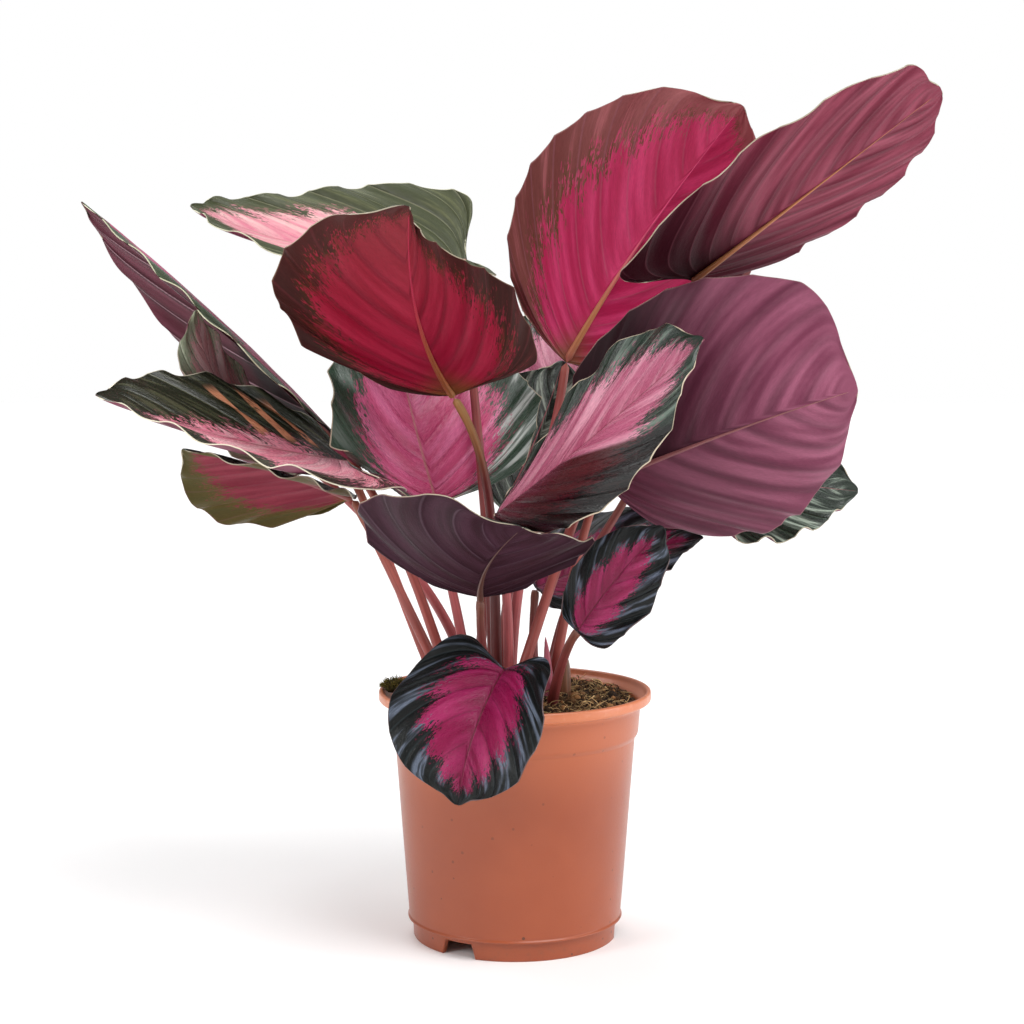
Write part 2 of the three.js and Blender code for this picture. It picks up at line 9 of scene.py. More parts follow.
import bpy
import numpy as np
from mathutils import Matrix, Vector


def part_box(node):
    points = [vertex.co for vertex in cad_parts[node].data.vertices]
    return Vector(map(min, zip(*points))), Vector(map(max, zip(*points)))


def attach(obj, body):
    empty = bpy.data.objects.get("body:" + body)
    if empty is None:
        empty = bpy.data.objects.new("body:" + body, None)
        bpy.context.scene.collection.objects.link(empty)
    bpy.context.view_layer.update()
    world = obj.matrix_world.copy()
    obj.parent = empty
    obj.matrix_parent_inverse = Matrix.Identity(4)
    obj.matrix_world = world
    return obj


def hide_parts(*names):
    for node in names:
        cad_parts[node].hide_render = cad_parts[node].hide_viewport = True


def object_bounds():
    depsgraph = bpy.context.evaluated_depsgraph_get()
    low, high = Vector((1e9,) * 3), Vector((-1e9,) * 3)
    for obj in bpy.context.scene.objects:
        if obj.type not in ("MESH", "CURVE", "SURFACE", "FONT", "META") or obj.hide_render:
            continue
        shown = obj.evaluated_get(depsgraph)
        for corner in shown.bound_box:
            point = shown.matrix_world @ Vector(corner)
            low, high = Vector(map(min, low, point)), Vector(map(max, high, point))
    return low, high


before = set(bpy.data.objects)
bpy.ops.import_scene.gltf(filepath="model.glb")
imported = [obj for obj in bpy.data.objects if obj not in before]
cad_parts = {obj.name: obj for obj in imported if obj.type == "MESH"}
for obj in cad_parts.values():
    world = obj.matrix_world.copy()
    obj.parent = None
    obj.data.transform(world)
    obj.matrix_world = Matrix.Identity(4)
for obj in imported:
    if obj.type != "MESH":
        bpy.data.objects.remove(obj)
cad_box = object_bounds()
pot_low, pot_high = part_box("pot")
AXIS = np.array([(pot_low.x + pot_high.x) / 2, (pot_low.y + pot_high.y) / 2, 0.0])
POT_HEIGHT = pot_high.z * 1000
RIM_RADIUS = (pot_high.x - pot_low.x) * 500
MM = 0.001

# Camera: its place from the pot's axis in metres, its tilt below the level, and its lens
CAMERA_PLACE = (-0.0015, -1.066, 0.3235)
CAMERA_TILT = 5.58
CAMERA_LENS = 73.7
CAMERA_SENSOR = 36

# Pot, as in the solid model
RIM_BAND = 5.2
COLLAR_RADIUS = 64.4
COLLAR_BOTTOM = 105
COLLAR_TOP = 118
BODY_TOP_RADIUS = 61.8
BODY_BOTTOM_RADIUS = 54.8
FOOT_RADIUS = 52.5
FOOT_INNER_RADIUS = 50
FOOT_HEIGHT = 10.4
WALL = 1.8
FLOOR_BOTTOM = 8.4
FLOOR_TOP = 10.4
DRAIN_HOLES = 8
DRAIN_RADIUS = 4
DRAIN_CIRCLE = 36
FOOT_NOTCHES = (-123, -3, 117)
NOTCH_WIDTH = 20
NOTCH_TOP_WIDTH = 15.5
NOTCH_HEIGHT = 7.6
POT_STRETCH = 6.0
POT_TURN = 2.0
DRAIN_SIDES = 24
DRAIN_CUT = (4.0, 16.0)

# Soil, and the loose bits on it
SOIL_EDGE = 121.6
SOIL_CROWN = 126.4
SOIL_GAP = 0.7
SOIL_RINGS = 96
SOIL_SIDES = 220
BIG_CRUMBS = (2, 300, 1.0, 2.9)
SMALL_CRUMBS = (1, 1500, 0.4, 1.4)
FIBRES = 1300
MOSS_PLACE = (-62.0, 1, 129)
MOSS_RADIUS = (7.0, 8.5, 4.0)
MOSS_STRANDS = 420

# Blades
BLADE_THICKNESS = 0.56
MIDRIB_STEPS = 200
ROWS = 150
COLUMNS = 84
SMALL_ROWS = 110
SMALL_COLUMNS = 60
SMALL_WIDTH = 95
CROWDING = 0.35
LOBE_END = 0.4
SLANT = 1.3
SWEEP = 1.4
VEIN_SWEEP = 0.27
VEIN_BEND = 1.15
SWELL_MIDDLE = 0.6
GROOVE = 0.45
GROOVE_WIDTH = 1.5
BUCKLE = 1.1
TIP_POINT = 3.0
STRIPE_STEP = 0.085

# Stalks and shoots
STALK_FOOT = 112
STALK_STEPS = 60
STALK_SIDES = 16
STALK_LOW_RADIUS = 2.9
STALK_HIGH_RADIUS = 1.9
JOINT_AT = 0.94
JOINT_SWELL = 0.14
SHEATH_SWELL = 0.35
SHEATH_HEIGHT = 16
SHOOT_STEPS = 48
SHOOT_SIDES = 24

# Stage
FLOOR_REACH = 6.0
SUN_ANGLE = math.radians(40)
BOX_SIZE = 0.6


def srgb(r, g, b):
    """The linear colour of a display colour given as 0 to 255."""
    c = np.array([r, g, b]) / 255
    return tuple(np.where(c <= 0.04045, c / 12.92, ((c + 0.055) / 1.055) ** 2.4)) + (1.0,)


def smooth(x, low=0.0, high=1.0):
    """Rises from 0 at low to 1 at high along a cubic."""
    t = np.clip((x - low) / (high - low), 0, 1)
    return t * t * (3 - 2 * t)


def lerp(a, b, t):
    """Runs evenly from a to b as t goes from 0 to 1."""
    return a + (b - a) * t


def bow(start, middle, end, t):
    """The quadratic curve from start to end that is drawn towards middle."""
    return (1 - t) ** 2 * start + 2 * t * (1 - t) * middle + t**2 * end


def unit(v):
    """Vectors scaled to length 1."""
    return v / np.maximum(np.linalg.norm(v, axis=-1, keepdims=True), 1e-12)


def dot(a, b):
    """The dot products of two arrays of vectors."""
    return (a * b).sum(-1, keepdims=True)


def lengths_along(points):
    """The length from the first point to each of the others, along the straight stretches between them."""
    return np.concatenate([[0], np.cumsum(np.linalg.norm(np.diff(points, axis=0), axis=1))])


def placed(name, data):
    """A new object of that name in the scene, made of its data."""
    thing = bpy.data.objects.new(name, data)
    bpy.context.scene.collection.objects.link(thing)
    return thing


def piece(name, points, faces, skins, slot, replaces=(), layers=None, skin_of_face=None, flat=None):
    """A mesh object from points in millimetres round the pot's axis, riding on the one body.

    layers holds values for each vertex, skin_of_face which skin a face takes, and flat which are flat.
    """
    mesh = bpy.data.meshes.new(name)
    mesh.from_pydata((points * MM + AXIS).tolist(), [], faces)
    for layer, values in (layers or {}).items():
        kind, field = ("FLOAT_VECTOR", "vector") if values.ndim == 2 else ("FLOAT", "value")
        attribute = mesh.attributes.new(layer, kind, "POINT")
        attribute.data.foreach_set(field, values.astype(np.float32).ravel())
    count = len(mesh.polygons)
    rough = np.zeros(count, bool) if flat is None else flat
    mesh.polygons.foreach_set("use_smooth", ~rough)
    for skin in skins:
        mesh.materials.append(skin)
    if skin_of_face is not None:
        mesh.polygons.foreach_set("material_index", skin_of_face.astype(np.int32))
    mesh.validate()
    mesh.update()
    thing = placed(name, mesh)
    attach(thing, "root")
    if replaces:
        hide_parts(*replaces)
    return thing


def poled_grid(rows, columns, closed):
    """Vertex numbers and faces of a grid whose first and last rows are single points.

    The grid has rows + 1 rows. Where it is closed, its last column joins its first.
    """
    wide = columns if closed else columns + 1
    ids = np.zeros((rows + 1, wide), int)
    ids[1:-1] = 1 + np.arange((rows - 1) * wide).reshape(rows - 1, wide)
    ids[-1] = 1 + (rows - 1) * wide
    if closed:
        ids = np.concatenate([ids, ids[:, :1]], axis=1)
    here, right = ids[:, :-1], ids[:, 1:]
    quads = np.stack([here[1:-2], right[1:-2], right[2:-1], here[2:-1]], -1).reshape(-1, 4)
    first = np.stack([here[0], right[1], here[1]], -1)
    last = np.stack([here[-2], right[-2], here[-1]], -1)
    return ids, quads, np.concatenate([first, last])


def round_faces(rows, columns):
    """The faces of a closed grid between two poles."""
    _, quads, triangles = poled_grid(rows, columns, closed=True)
    return quads.tolist() + triangles.tolist()


def poled(values):
    """A grid's values as one row per vertex, with the first and the last row as one point each."""
    return np.concatenate([values[0, :1], values[1:-1].reshape(-1, values.shape[-1]), values[-1, :1]])


def turned(radius, turn, height):
    """Points at a radius from the pot's axis, an angle round it and a height."""
    return np.stack(np.broadcast_arrays(radius * np.cos(turn), radius * np.sin(turn), height), -1)


def sweep_tube(path, across, wide, high, sides, ripple=None):
    """A closed tube of elliptic rings: centre + cos(angle) * wide * across + sin(angle) * high * up.

    The first and last points of the path are its two ends, where the rings have shrunk to nothing. ripple
    scales each ring point by its share of the path and its angle.
    """
    along = unit(np.gradient(path, axis=0))
    across = unit(across - dot(across, along) * along)
    up = np.cross(along, across)
    angle = np.linspace(0, 2 * np.pi, sides, endpoint=False)
    scale = 1 if ripple is None else ripple(np.linspace(0, 1, len(path))[:, None], angle[None])[..., None]
    ring = across[:, None] * (np.cos(angle)[None, :, None] * wide[:, None, None])
    ring = ring + up[:, None] * (np.sin(angle)[None, :, None] * high[:, None, None])
    points = path[:, None] + ring * scale
    return poled(points), round_faces(len(path) - 1, sides), angle


def scatter(template, faces, places, sizes, turns):
    """Many copies of a small shape: each is scaled, turned by its own matrix and set in its place."""
    points = np.einsum("nij,nkj->nki", turns, template[None] * sizes[:, None]) + places[:, None]
    offsets = np.arange(len(places))[:, None, None] * len(template)
    return points.reshape(-1, 3), (np.asarray(faces)[None] + offsets).reshape(-1, len(faces[0])).tolist()


def random_turns(rng, count):
    """Random rotation matrices from unit quaternions."""
    w, x, y, z = unit(rng.normal(size=(count, 4))).T
    rows = [
        [1 - 2 * (y * y + z * z), 2 * (x * y - z * w), 2 * (x * z + y * w)],
        [2 * (x * y + z * w), 1 - 2 * (x * x + z * z), 2 * (y * z - x * w)],
        [2 * (x * z - y * w), 2 * (y * z + x * w), 1 - 2 * (x * x + y * y)],
    ]
    return np.stack([np.stack(row, -1) for row in rows], -2)


def lattice_noise(x, y, seed):
    """Smooth noise from -1 to 1: hashed values at whole numbers, blended by a cubic between them."""
    def corner(i, j):
        h = np.sin(i * 127.1 + j * 311.7 + seed * 74.7) * 43758.5453
        return 2 * (h - np.floor(h)) - 1

    i, j = np.floor(x), np.floor(y)
    u, v = smooth(x - i), smooth(y - j)
    low = lerp(corner(i, j), corner(i + 1, j), u)
    high = lerp(corner(i, j + 1), corner(i + 1, j + 1), u)
    return lerp(low, high, v)


class Nodes:
    """Short calls for the nodes of one tree. Any input may be a socket or a plain value."""

    def __init__(self, tree):
        self.tree = tree

    def put(self, socket, value):
        """Links a socket to the socket, or sets it to the plain value."""
        if isinstance(value, bpy.types.NodeSocket):
            self.tree.links.new(value, socket)
        elif value is not None:
            socket.default_value = value

    def add(self, kind, inputs=(), **settings):
        """A node of that kind with its settings and its inputs."""
        node = self.tree.nodes.new(kind)
        for name, value in settings.items():
            setattr(node, name, value)
        for key, value in dict(inputs).items():
            self.put(node.inputs[key], value)
        return node

    def math(self, operation, a, b=None, c=None, clamp=False):
        """The operation on one, two or three numbers."""
        values = {i: x for i, x in enumerate((a, b, c)) if x is not None}
        return self.add("ShaderNodeMath", values, operation=operation, use_clamp=clamp).outputs[0]

    def times(self, a, b):
        """a * b."""
        return self.math("MULTIPLY", a, b)

    def plus(self, a, b):
        """a + b."""
        return self.math("ADD", a, b)

    def minus(self, a, b):
        """a - b."""
        return self.math("SUBTRACT", a, b)

    def line(self, x, slope, start, clamp=False):
        """start + slope * x."""
        return self.math("MULTIPLY_ADD", x, slope, start, clamp)

    def sway(self, level, value, middle, amount, clamp=False):
        """level + amount * (value - middle)."""
        return self.line(self.minus(value, middle), amount, level, clamp)

    def mix(self, factor, a, b, blend="MIX"):
        """Colour a where the factor is 0 and b where it is 1."""
        values = {0: factor, 6: a, 7: b}
        return self.add("ShaderNodeMix", values, data_type="RGBA", blend_type=blend).outputs[2]

    def step(self, value, low, high, start=0.0, end=1.0):
        """Rises smoothly from start to end as value goes from low to high."""
        values = {"Value": value, "From Min": low, "From Max": high, "To Min": start, "To Max": end}
        node = self.add("ShaderNodeMapRange", values, interpolation_type="SMOOTHSTEP")
        return node.outputs["Result"]

    def fall(self, value, low, high):
        """Falls smoothly from 1 to 0 as value goes from low to high."""
        return self.step(value, low, high, 1.0, 0.0)

    def join(self, x, y, z):
        """The vector of three numbers."""
        return self.add("ShaderNodeCombineXYZ", {0: x, 1: y, 2: z}).outputs[0]

    def split(self, vector):
        """The three numbers of a vector."""
        return self.add("ShaderNodeSeparateXYZ", {0: vector}).outputs

    def noise(self, vector, scale=1.0, detail=2.0, roughness=0.5):
        """Cloudy noise from 0 to 1, mostly near 0.5."""
        values = {"Vector": vector, "Scale": scale, "Detail": detail, "Roughness": roughness}
        return self.add("ShaderNodeTexNoise", values).outputs["Fac"]

    def layer(self, name):
        """The mesh's own vector layer of that name."""
        return self.add("ShaderNodeAttribute", attribute_name=name).outputs["Vector"]

    def place(self):
        """The point's place on the piece, in millimetres."""
        values = {0: self.add("ShaderNodeTexCoord").outputs["Object"], "Scale": 1 / MM}
        return self.add("ShaderNodeVectorMath", values, operation="SCALE").outputs[0]

    def bump(self, height, distance, strength):
        """A normal bent by a height from 0 to 1 that stands for a distance in metres."""
        values = {"Height": height, "Distance": distance, "Strength": strength}
        return self.add("ShaderNodeBump", values).outputs[0]

    def lit(self, colour, light):
        """The colour multiplied by a plain number."""
        return self.mix(1.0, colour, self.join(light, light, light), "MULTIPLY")

    def group(self, tree, inputs):
        """The outputs of a node group, given its inputs."""
        return self.add("ShaderNodeGroup", inputs, node_tree=tree).outputs


def node_group(name, inputs, outputs, build):
    """A shader node group with named numbers as inputs and outputs. build(n, taken) gives the outputs."""
    tree = bpy.data.node_groups.new(name, "ShaderNodeTree")
    for label in inputs:
        tree.interface.new_socket(name=label, in_out="INPUT", socket_type="NodeSocketFloat")
    for label in outputs:
        tree.interface.new_socket(name=label, in_out="OUTPUT", socket_type="NodeSocketFloat")
    n = Nodes(tree)
    taken = n.add("NodeGroupInput").outputs
    given = n.add("NodeGroupOutput").inputs
    for label, value in build(n, taken).items():
        n.put(given[label], value)
    return tree


def material(name, build, specular=0.5, coat=0.0):
    """A Principled material. build(n) gives its colour, its roughness and its bumps, which are a height, the
    distance that it stands for and how strongly it shows."""
    made = bpy.data.materials.new(name)
    made.use_nodes = True
    n = Nodes(made.node_tree)
    surface = made.node_tree.nodes["Principled BSDF"].inputs
    surface["Specular IOR Level"].default_value = specular
    surface["Coat Weight"].default_value = coat
    colour, roughness, bumps = build(n)
    n.put(surface["Base Color"], colour)
    n.put(surface["Roughness"], roughness)
    if bumps:
        n.put(surface["Normal"], n.bump(*bumps))
    return made


def build_marks(n, taken):
    """Where a leaf's marks are, from its layer of (v, a, vein): v runs from -1 to 1 across, a from 0 to 1
    along, and vein grows by 1 / ribs from one side vein to the next.

    Centre is the coloured middle: it ends at an even distance from the margin, Border, which grows by More
    on the right half, in strokes that follow the veins and in fingers between them. It starts at Start
    along the leaf, and Soft is how slowly it fades out. Fleck is where a stray stroke has the other colour,
    and Rim is the margin's own inner zone. Vein, Midrib and Edge are thin lines, Swell rises from 0 at a
    side vein to 1 between two, Band is the shine there, Broad a cloudy tone drawn out along the veins,
    Streak the fine grain along them, and Crinkle the grain's coarser neighbour.
    """
    v, a, vein = n.split(n.layer("leaf"))
    seed, ribs = taken["Seed"], taken["Ribs"]
    side = n.math("GREATER_THAN", v, 0.0)
    away = n.plus(seed, n.times(side, 7.3))
    reach = n.math("ABSOLUTE", v)
    breadth = n.math("POWER", n.math("SINE", n.times(a, math.pi)), 0.85)
    inner = n.times(n.minus(1.0, reach), breadth)
    turn = n.times(n.times(vein, ribs), math.pi)
    open_part = n.fall(a, 0.8, 0.96)
    swell = n.sway(SWELL_MIDDLE, n.math("ABSOLUTE", n.math("SINE", turn)), SWELL_MIDDLE, open_part)
    across = n.times(vein, n.math("DIVIDE", ribs, 12.0))

    def drawn_out(fine, long, detail=1.0):
        """Noise with fine steps across the veins and long ones along them."""
        return n.noise(n.join(n.times(across, fine), n.times(reach, long), away), 1.0, detail, 0.6)

    level = n.sway(inner, drawn_out(150.0, 8.0, 2.0), 0.5, 0.34)
    level = n.sway(level, drawn_out(22.0, 2.5), 0.5, 0.22)
    level = n.sway(level, swell, 0.62, taken["Fingers"])
    before_start = n.step(n.minus(a, taken["Start"]), -0.12, 0.12, 0.7, 0.0)
    over = n.minus(n.minus(level, before_start), n.line(side, taken["More"], taken["Border"]))
    centre = n.step(n.math("DIVIDE", over, taken["Soft"]), -1.0, 1.0)
    near = n.fall(n.math("ABSOLUTE", over), 0.03, 0.16)
    fleck = n.times(n.step(drawn_out(200.0, 24.0), 0.56, 0.59), near)
    clear = n.step(breadth, 0.08, 0.7)
    streak = n.sway(0.5, drawn_out(330.0, 26.0, 3.0), 0.5, clear)
    band = n.times(n.step(swell, 0.55, 0.92), n.step(drawn_out(34.0, 2.0), 0.4, 0.56))
    return {
        "Centre": n.times(centre, n.minus(1.0, fleck)),
        "Fleck": n.times(fleck, n.minus(1.0, centre)),
        "Rim": n.times(n.step(over, -0.16, -0.01), n.step(drawn_out(60.0, 4.0), 0.35, 0.6)),
        "Vein": n.times(n.fall(swell, 0.02, 0.18), n.step(reach, 0.03, 0.1)),
        "Swell": swell,
        "Midrib": n.fall(n.math("DIVIDE", reach, n.minus(1.25, a)), 0.006, 0.022),
        "Edge": n.step(reach, 0.992, 0.997),
        "Band": n.times(band, n.step(drawn_out(90.0, 3.0, 2.0), 0.42, 0.58, 0.25, 1.0)),
        "Streak": streak,
        "Broad": n.sway(0.5, drawn_out(28.0, 1.5), 0.5, clear),
        "Crinkle": n.sway(0.5, drawn_out(70.0, 9.0, 2.0), 0.5, clear),
        "Reach": reach,
        "Side": side,
        "Along": a,
    }


LOOK_INPUTS = ("Border", "More", "Soft", "Fingers", "Start")
MARKS = ("Centre", "Fleck", "Rim", "Vein", "Swell", "Midrib", "Edge", "Band", "Streak", "Broad",
         "Crinkle", "Reach", "Side", "Along")
leaf_marks = node_group("leaf_marks", (*LOOK_INPUTS, "Ribs", "Seed"), MARKS, build_marks)


def marks_of(n, leaf, look):
    """The marks for one leaf's ribs and seed and for its look."""
    values = {name: look[name.lower()] for name in LOOK_INPUTS}
    return n.group(leaf_marks, {**values, "Ribs": leaf["ribs"], "Seed": leaf["seed"]})


def streaked(n, colour, marks, amount):
    """The colour made lighter and darker by the fine grain along the veins."""
    return n.lit(colour, n.sway(1.0, marks["Streak"], 0.5, amount))


def upper_skin(name, leaf, look):
    """The upper side: a coloured centre in a dark margin whose bands between the side veins are partly its
    own paler tone and partly a painted highlight.

    The right half may carry stripes of its own in the margin, and it may be shaded behind a fold that runs
    from the midrib out to the margin as the side veins do.
    """

    def build(n):
        marks = marks_of(n, leaf, look)
        side, reach, along = marks["Side"], marks["Reach"], marks["Along"]
        centre = n.mix(n.step(marks["Broad"], 0.35, 0.7), look["centre"], look["centre_light"])
        centre = n.mix(n.times(marks["Vein"], look["vein_share"]), centre, look["vein"])
        centre = n.mix(n.times(n.fall(reach, 0.0, 0.4), 0.35), centre, look["vein"])
        shine = n.line(side, look["more_shine"], look["shine"])
        # Painted highlight: the margin's bands between the side veins take a paler colour, partly the leaf's
        # own tone and partly painted shine.
        margin = n.mix(n.times(marks["Band"], shine), look["margin"], look["silver"])
        margin = n.mix(n.times(marks["Vein"], 0.3), margin, look["margin_light"])
        margin = n.mix(n.times(marks["Fleck"], 0.85), margin, look["centre"])
        if look["striped"]:
            row = n.line(reach, -0.1, along)
            middle = n.times(n.step(row, 0.21, 0.24), n.fall(row, 0.47, 0.5))
            wave = n.math("SINE", n.times(row, 2 * math.pi / STRIPE_STEP))
            stripes = n.times(n.step(wave, 0.35, 0.55), n.step(marks["Crinkle"], 0.3, 0.42))
            ends = n.times(n.step(reach, 0.15, 0.3), n.fall(reach, 0.74, 0.9))
            stripes = n.times(n.times(stripes, middle), n.times(ends, side))
            margin = n.mix(stripes, margin, look["striped"])
        colour = n.mix(marks["Centre"], margin, centre)
        colour = n.mix(marks["Midrib"], colour, look["midrib"])
        colour = streaked(n, colour, marks, 0.7)
        if look["shade"]:
            fold = n.line(reach, -0.25, along)
            behind = n.times(n.fall(fold, 0.485, 0.505), side)
            colour = n.mix(behind, colour, look["shade"], "MULTIPLY")
        colour = n.mix(marks["Edge"], colour, look["edge"])
        gloss = n.line(marks["Band"], -0.06, look["roughness"])
        height = n.line(n.step(marks["Swell"], 0.0, 0.35), 0.6, n.times(marks["Streak"], 0.4))
        height = n.line(marks["Crinkle"], look["crinkle"], height)
        return colour, n.sway(gloss, marks["Streak"], 0.5, 0.2), (height, 0.0007, 0.8)

    return material(name, build, look["sheen"])


def under_skin(name, leaf, look):
    """The underside: plum with painted shade in the valleys along the side veins and more near the base, or
    with painted light through it from above so that the centre and the margin show, and painted shade in its
    furrows."""

    def build(n):
        marks = marks_of(n, leaf, look)
        side, reach, along = marks["Side"], marks["Reach"], marks["Along"]
        cloud = n.step(marks["Broad"], 0.3, 0.75)
        skin = n.mix(cloud, look["under"], look["under_light"])
        # Painted shade in the valleys along the side veins, fading towards the tip.
        valley = n.times(n.fall(marks["Swell"], 0.1, 0.8), look["under_valley"])
        skin = n.mix(n.times(valley, n.step(along, 0.7, 1.0, 1.0, 0.2)), skin, look["under_deep"])
        # Painted shade near the base, reaching further on one half.
        deep_part = n.fall(along, look["deep_reach"] - 0.35, look["deep_reach"])
        deep = n.times(deep_part, n.line(side, look["deep_more"], look["deep"]))
        skin = n.mix(deep, skin, look["under_deep"])
        margin = n.mix(n.times(marks["Band"], 0.7), look["through_margin"], look["through_mauve"])
        margin = n.mix(n.step(along, 0.45, 0.95, 0.0, 0.7), margin, look["through_mauve"])
        margin = n.mix(n.times(marks["Rim"], 0.75), margin, look["through_olive"])
        glow = n.mix(cloud, look["through"], look["through_light"])
        glow = n.mix(n.step(along, 0.35, 0.95, 0.0, look["through_fade"]), glow, look["through_far"])
        # Painted shade in the furrows between the swells of the leaves lit from behind.
        furrow = n.times(n.fall(marks["Swell"], 0.05, 0.6), look["through_valley"])
        glow = n.mix(furrow, glow, look["through_deep"])
        lit = n.mix(marks["Centre"], margin, glow)
        lit = n.mix(n.times(marks["Fleck"], 0.7), lit, look["through_light"])
        base = n.step(n.line(reach, 0.5, along), 0.18, 0.42, 0.85, 0.0)
        lit = n.mix(base, lit, look["through_base"])
        colour = n.mix(look["through_share"], skin, lit)
        colour = n.mix(n.times(marks["Vein"], look["under_veined"]), colour, look["under_vein"])
        colour = n.mix(n.times(marks["Edge"], 0.6), colour, look["under_edge"])
        gloss = n.sway(look["under_roughness"], marks["Streak"], 0.5, 0.2)
        height = n.line(n.step(marks["Swell"], 0.0, 0.4), -0.45, n.times(marks["Streak"], 0.5))
        height = n.line(marks["Crinkle"], 0.5, height)
        return streaked(n, colour, marks, 0.6), gloss, (height, 0.00045, 0.6)

    return material(name, build, look["under_sheen"])


def stalk_skin(name, low, high, rib, far_rib, seed):
    """A fleshy stalk with long fine streaks. Its colour changes on its way up, then comes the rib under the
    blade, which fades to a colour of its own towards the tip."""

    def build(n):
        round_it, far, share = n.split(n.layer("stem"))
        streak = n.noise(n.join(n.times(round_it, 14.0), n.times(far, 0.02), seed), 1.0, 3.0)
        blotch = n.noise(n.join(round_it, n.times(far, 0.06), seed + 4.0), 1.0, 2.0)
        colour = n.mix(n.step(share, 0.6, 1.0), low, high)
        colour = n.mix(n.step(share, 0.97, 1.1), colour, rib)
        colour = n.mix(n.step(share, 1.15, 1.6), colour, far_rib)
        brightness = n.plus(n.line(streak, 1.1, 0.2), n.times(blotch, 0.5))
        return n.lit(colour, brightness), n.line(streak, 0.25, 0.3), (streak, 0.0006, 0.5)

    return material(name, build, 0.45)


def look_like(base, **values):
    """A leaf's look: the base's values, then its own. Its colours are display colours from 0 to 255."""
    colours = {key: srgb(*value) for key, value in values.items() if np.size(value) == 3}
    return {**base, **values, **colours}


# Looks of a leaf. The young ones are bright, the old ones pale and olive.
# In each look the margin's band colour is partly its own paler tone and partly a painted highlight.
# The underside's dark colour and the amounts of darkening in its valleys and near its base are painted shade.
PINK = look_like(
    {}, border=0.33, more=0.0, soft=0.008, fingers=0.07, start=-1.0, striped=None, shade=None,
    centre=(184, 60, 106), centre_light=(212, 108, 150), vein=(150, 34, 80), vein_share=0.3,
    midrib=(176, 104, 110), margin=(26, 40, 30), margin_light=(84, 104, 86), silver=(124, 142, 128),
    shine=0.6, more_shine=0.0, crinkle=0.6, edge=(168, 158, 136), roughness=0.28, under=(110, 52, 70),
    under_light=(134, 72, 92), under_deep=(72, 28, 42), under_valley=0.4, under_vein=(150, 92, 108),
    under_veined=0.25, under_edge=(160, 118, 118), under_roughness=0.46, deep_reach=0.3, deep=1.0,
    deep_more=0.0, sheen=0.5, under_sheen=0.2, through=(166, 24, 72), through_light=(206, 62, 112),
    through_deep=(132, 10, 46), through_far=(206, 72, 112), through_fade=0.3, through_valley=0.18,
    through_base=(112, 70, 40), through_margin=(108, 54, 50), through_mauve=(164, 92, 96),
    through_olive=(84, 60, 30), through_share=0.0,
)
MAGENTA = look_like(
    PINK, border=0.42, fingers=0.16, centre=(128, 16, 64), centre_light=(156, 40, 90),
    vein=(74, 6, 32), vein_share=0.4, midrib=(92, 22, 40), margin=(12, 15, 15),
    margin_light=(50, 60, 64), silver=(140, 152, 174), shine=0.45, crinkle=1.0, edge=(92, 74, 74),
    roughness=0.34, sheen=0.25,
)
OLD = look_like(
    PINK, start=0.42, centre=(226, 140, 156), centre_light=(238, 192, 190), vein=(210, 104, 136),
    midrib=(200, 140, 126), margin=(62, 68, 40), margin_light=(168, 168, 132), silver=(104, 108, 72),
    edge=(206, 204, 176), roughness=0.36,
)
PALE = look_like(
    PINK, border=0.28, shade=(0.1, 0.03, 0.03, 1.0), centre=(176, 88, 118),
    centre_light=(214, 146, 166), vein=(150, 62, 88), midrib=(112, 36, 44), edge=(196, 180, 156),
)
GREEN = look_like(PINK, border=1.3, margin=(26, 38, 28), silver=(164, 178, 162), shine=0.9)
# Painted light: this leaf's colours are made much paler than its own, to light it where it lies in shade.
MUTED = look_like(
    PINK, border=0.36, more=-0.2, fingers=0.2, centre=(255, 196, 196), centre_light=(255, 228, 224),
    vein=(240, 170, 176), margin=(186, 200, 168), margin_light=(244, 250, 232), silver=(228, 240, 214),
)
LIT = look_like(PINK, through_share=1.0)
LIT_RED = look_like(
    LIT, border=0.27, soft=0.05, through=(142, 8, 44), through_light=(170, 36, 66),
    through_deep=(84, 2, 20), through_far=(118, 44, 46), through_fade=0.75, through_valley=0.42,
    through_base=(110, 74, 28), through_margin=(56, 24, 20), through_mauve=(78, 34, 32),
    through_olive=(64, 42, 16), under_vein=(150, 62, 74), under_veined=0.12, under_edge=(120, 84, 66),
)
LIT_OLIVE = look_like(
    LIT, soft=0.015, through=(114, 30, 48), through_light=(138, 52, 68), through_deep=(94, 24, 38),
    through_fade=0.0, through_base=(126, 92, 40), through_margin=(84, 72, 36),
    through_mauve=(74, 70, 36), through_olive=(86, 76, 36), under_veined=0.1, under_sheen=0.12,
)
PLUM = look_like(
    PINK, under=(110, 48, 72), under_light=(150, 84, 108), under_deep=(38, 12, 20), under_valley=0.32,
    under_veined=0.03, deep_reach=0.72, deep=0.35, deep_more=0.65,
)
DUSK = look_like(
    PINK, under=(78, 34, 44), under_light=(104, 58, 70), under_deep=(40, 12, 18), under_valley=0.8,
    under_vein=(176, 138, 148), under_veined=0.55, under_sheen=0.03, deep_reach=0.7,
    margin=(70, 84, 62), edge=(190, 190, 160),
)
WINE = look_like(
    PINK, under=(104, 34, 52), under_light=(148, 72, 90), under_deep=(40, 4, 14), under_valley=0.35,
    deep_reach=0.62, deep=0.6, deep_more=0.4, under_vein=(176, 112, 126), under_veined=0.08,
    under_sheen=0.05,
)
SLATE = look_like(
    PINK, under=(50, 28, 36), under_light=(70, 44, 56), under_deep=(34, 16, 24), under_sheen=0.06,
    under_vein=(108, 86, 98), under_veined=0.3, under_edge=(150, 108, 112),
)
STRIPED = look_like(
    PINK, border=0.2, more=0.62, striped=(206, 138, 104), margin=(34, 38, 26),
    margin_light=(120, 122, 92), silver=(92, 94, 70), centre=(248, 142, 166),
    centre_light=(255, 200, 206), edge=(222, 214, 190),
)

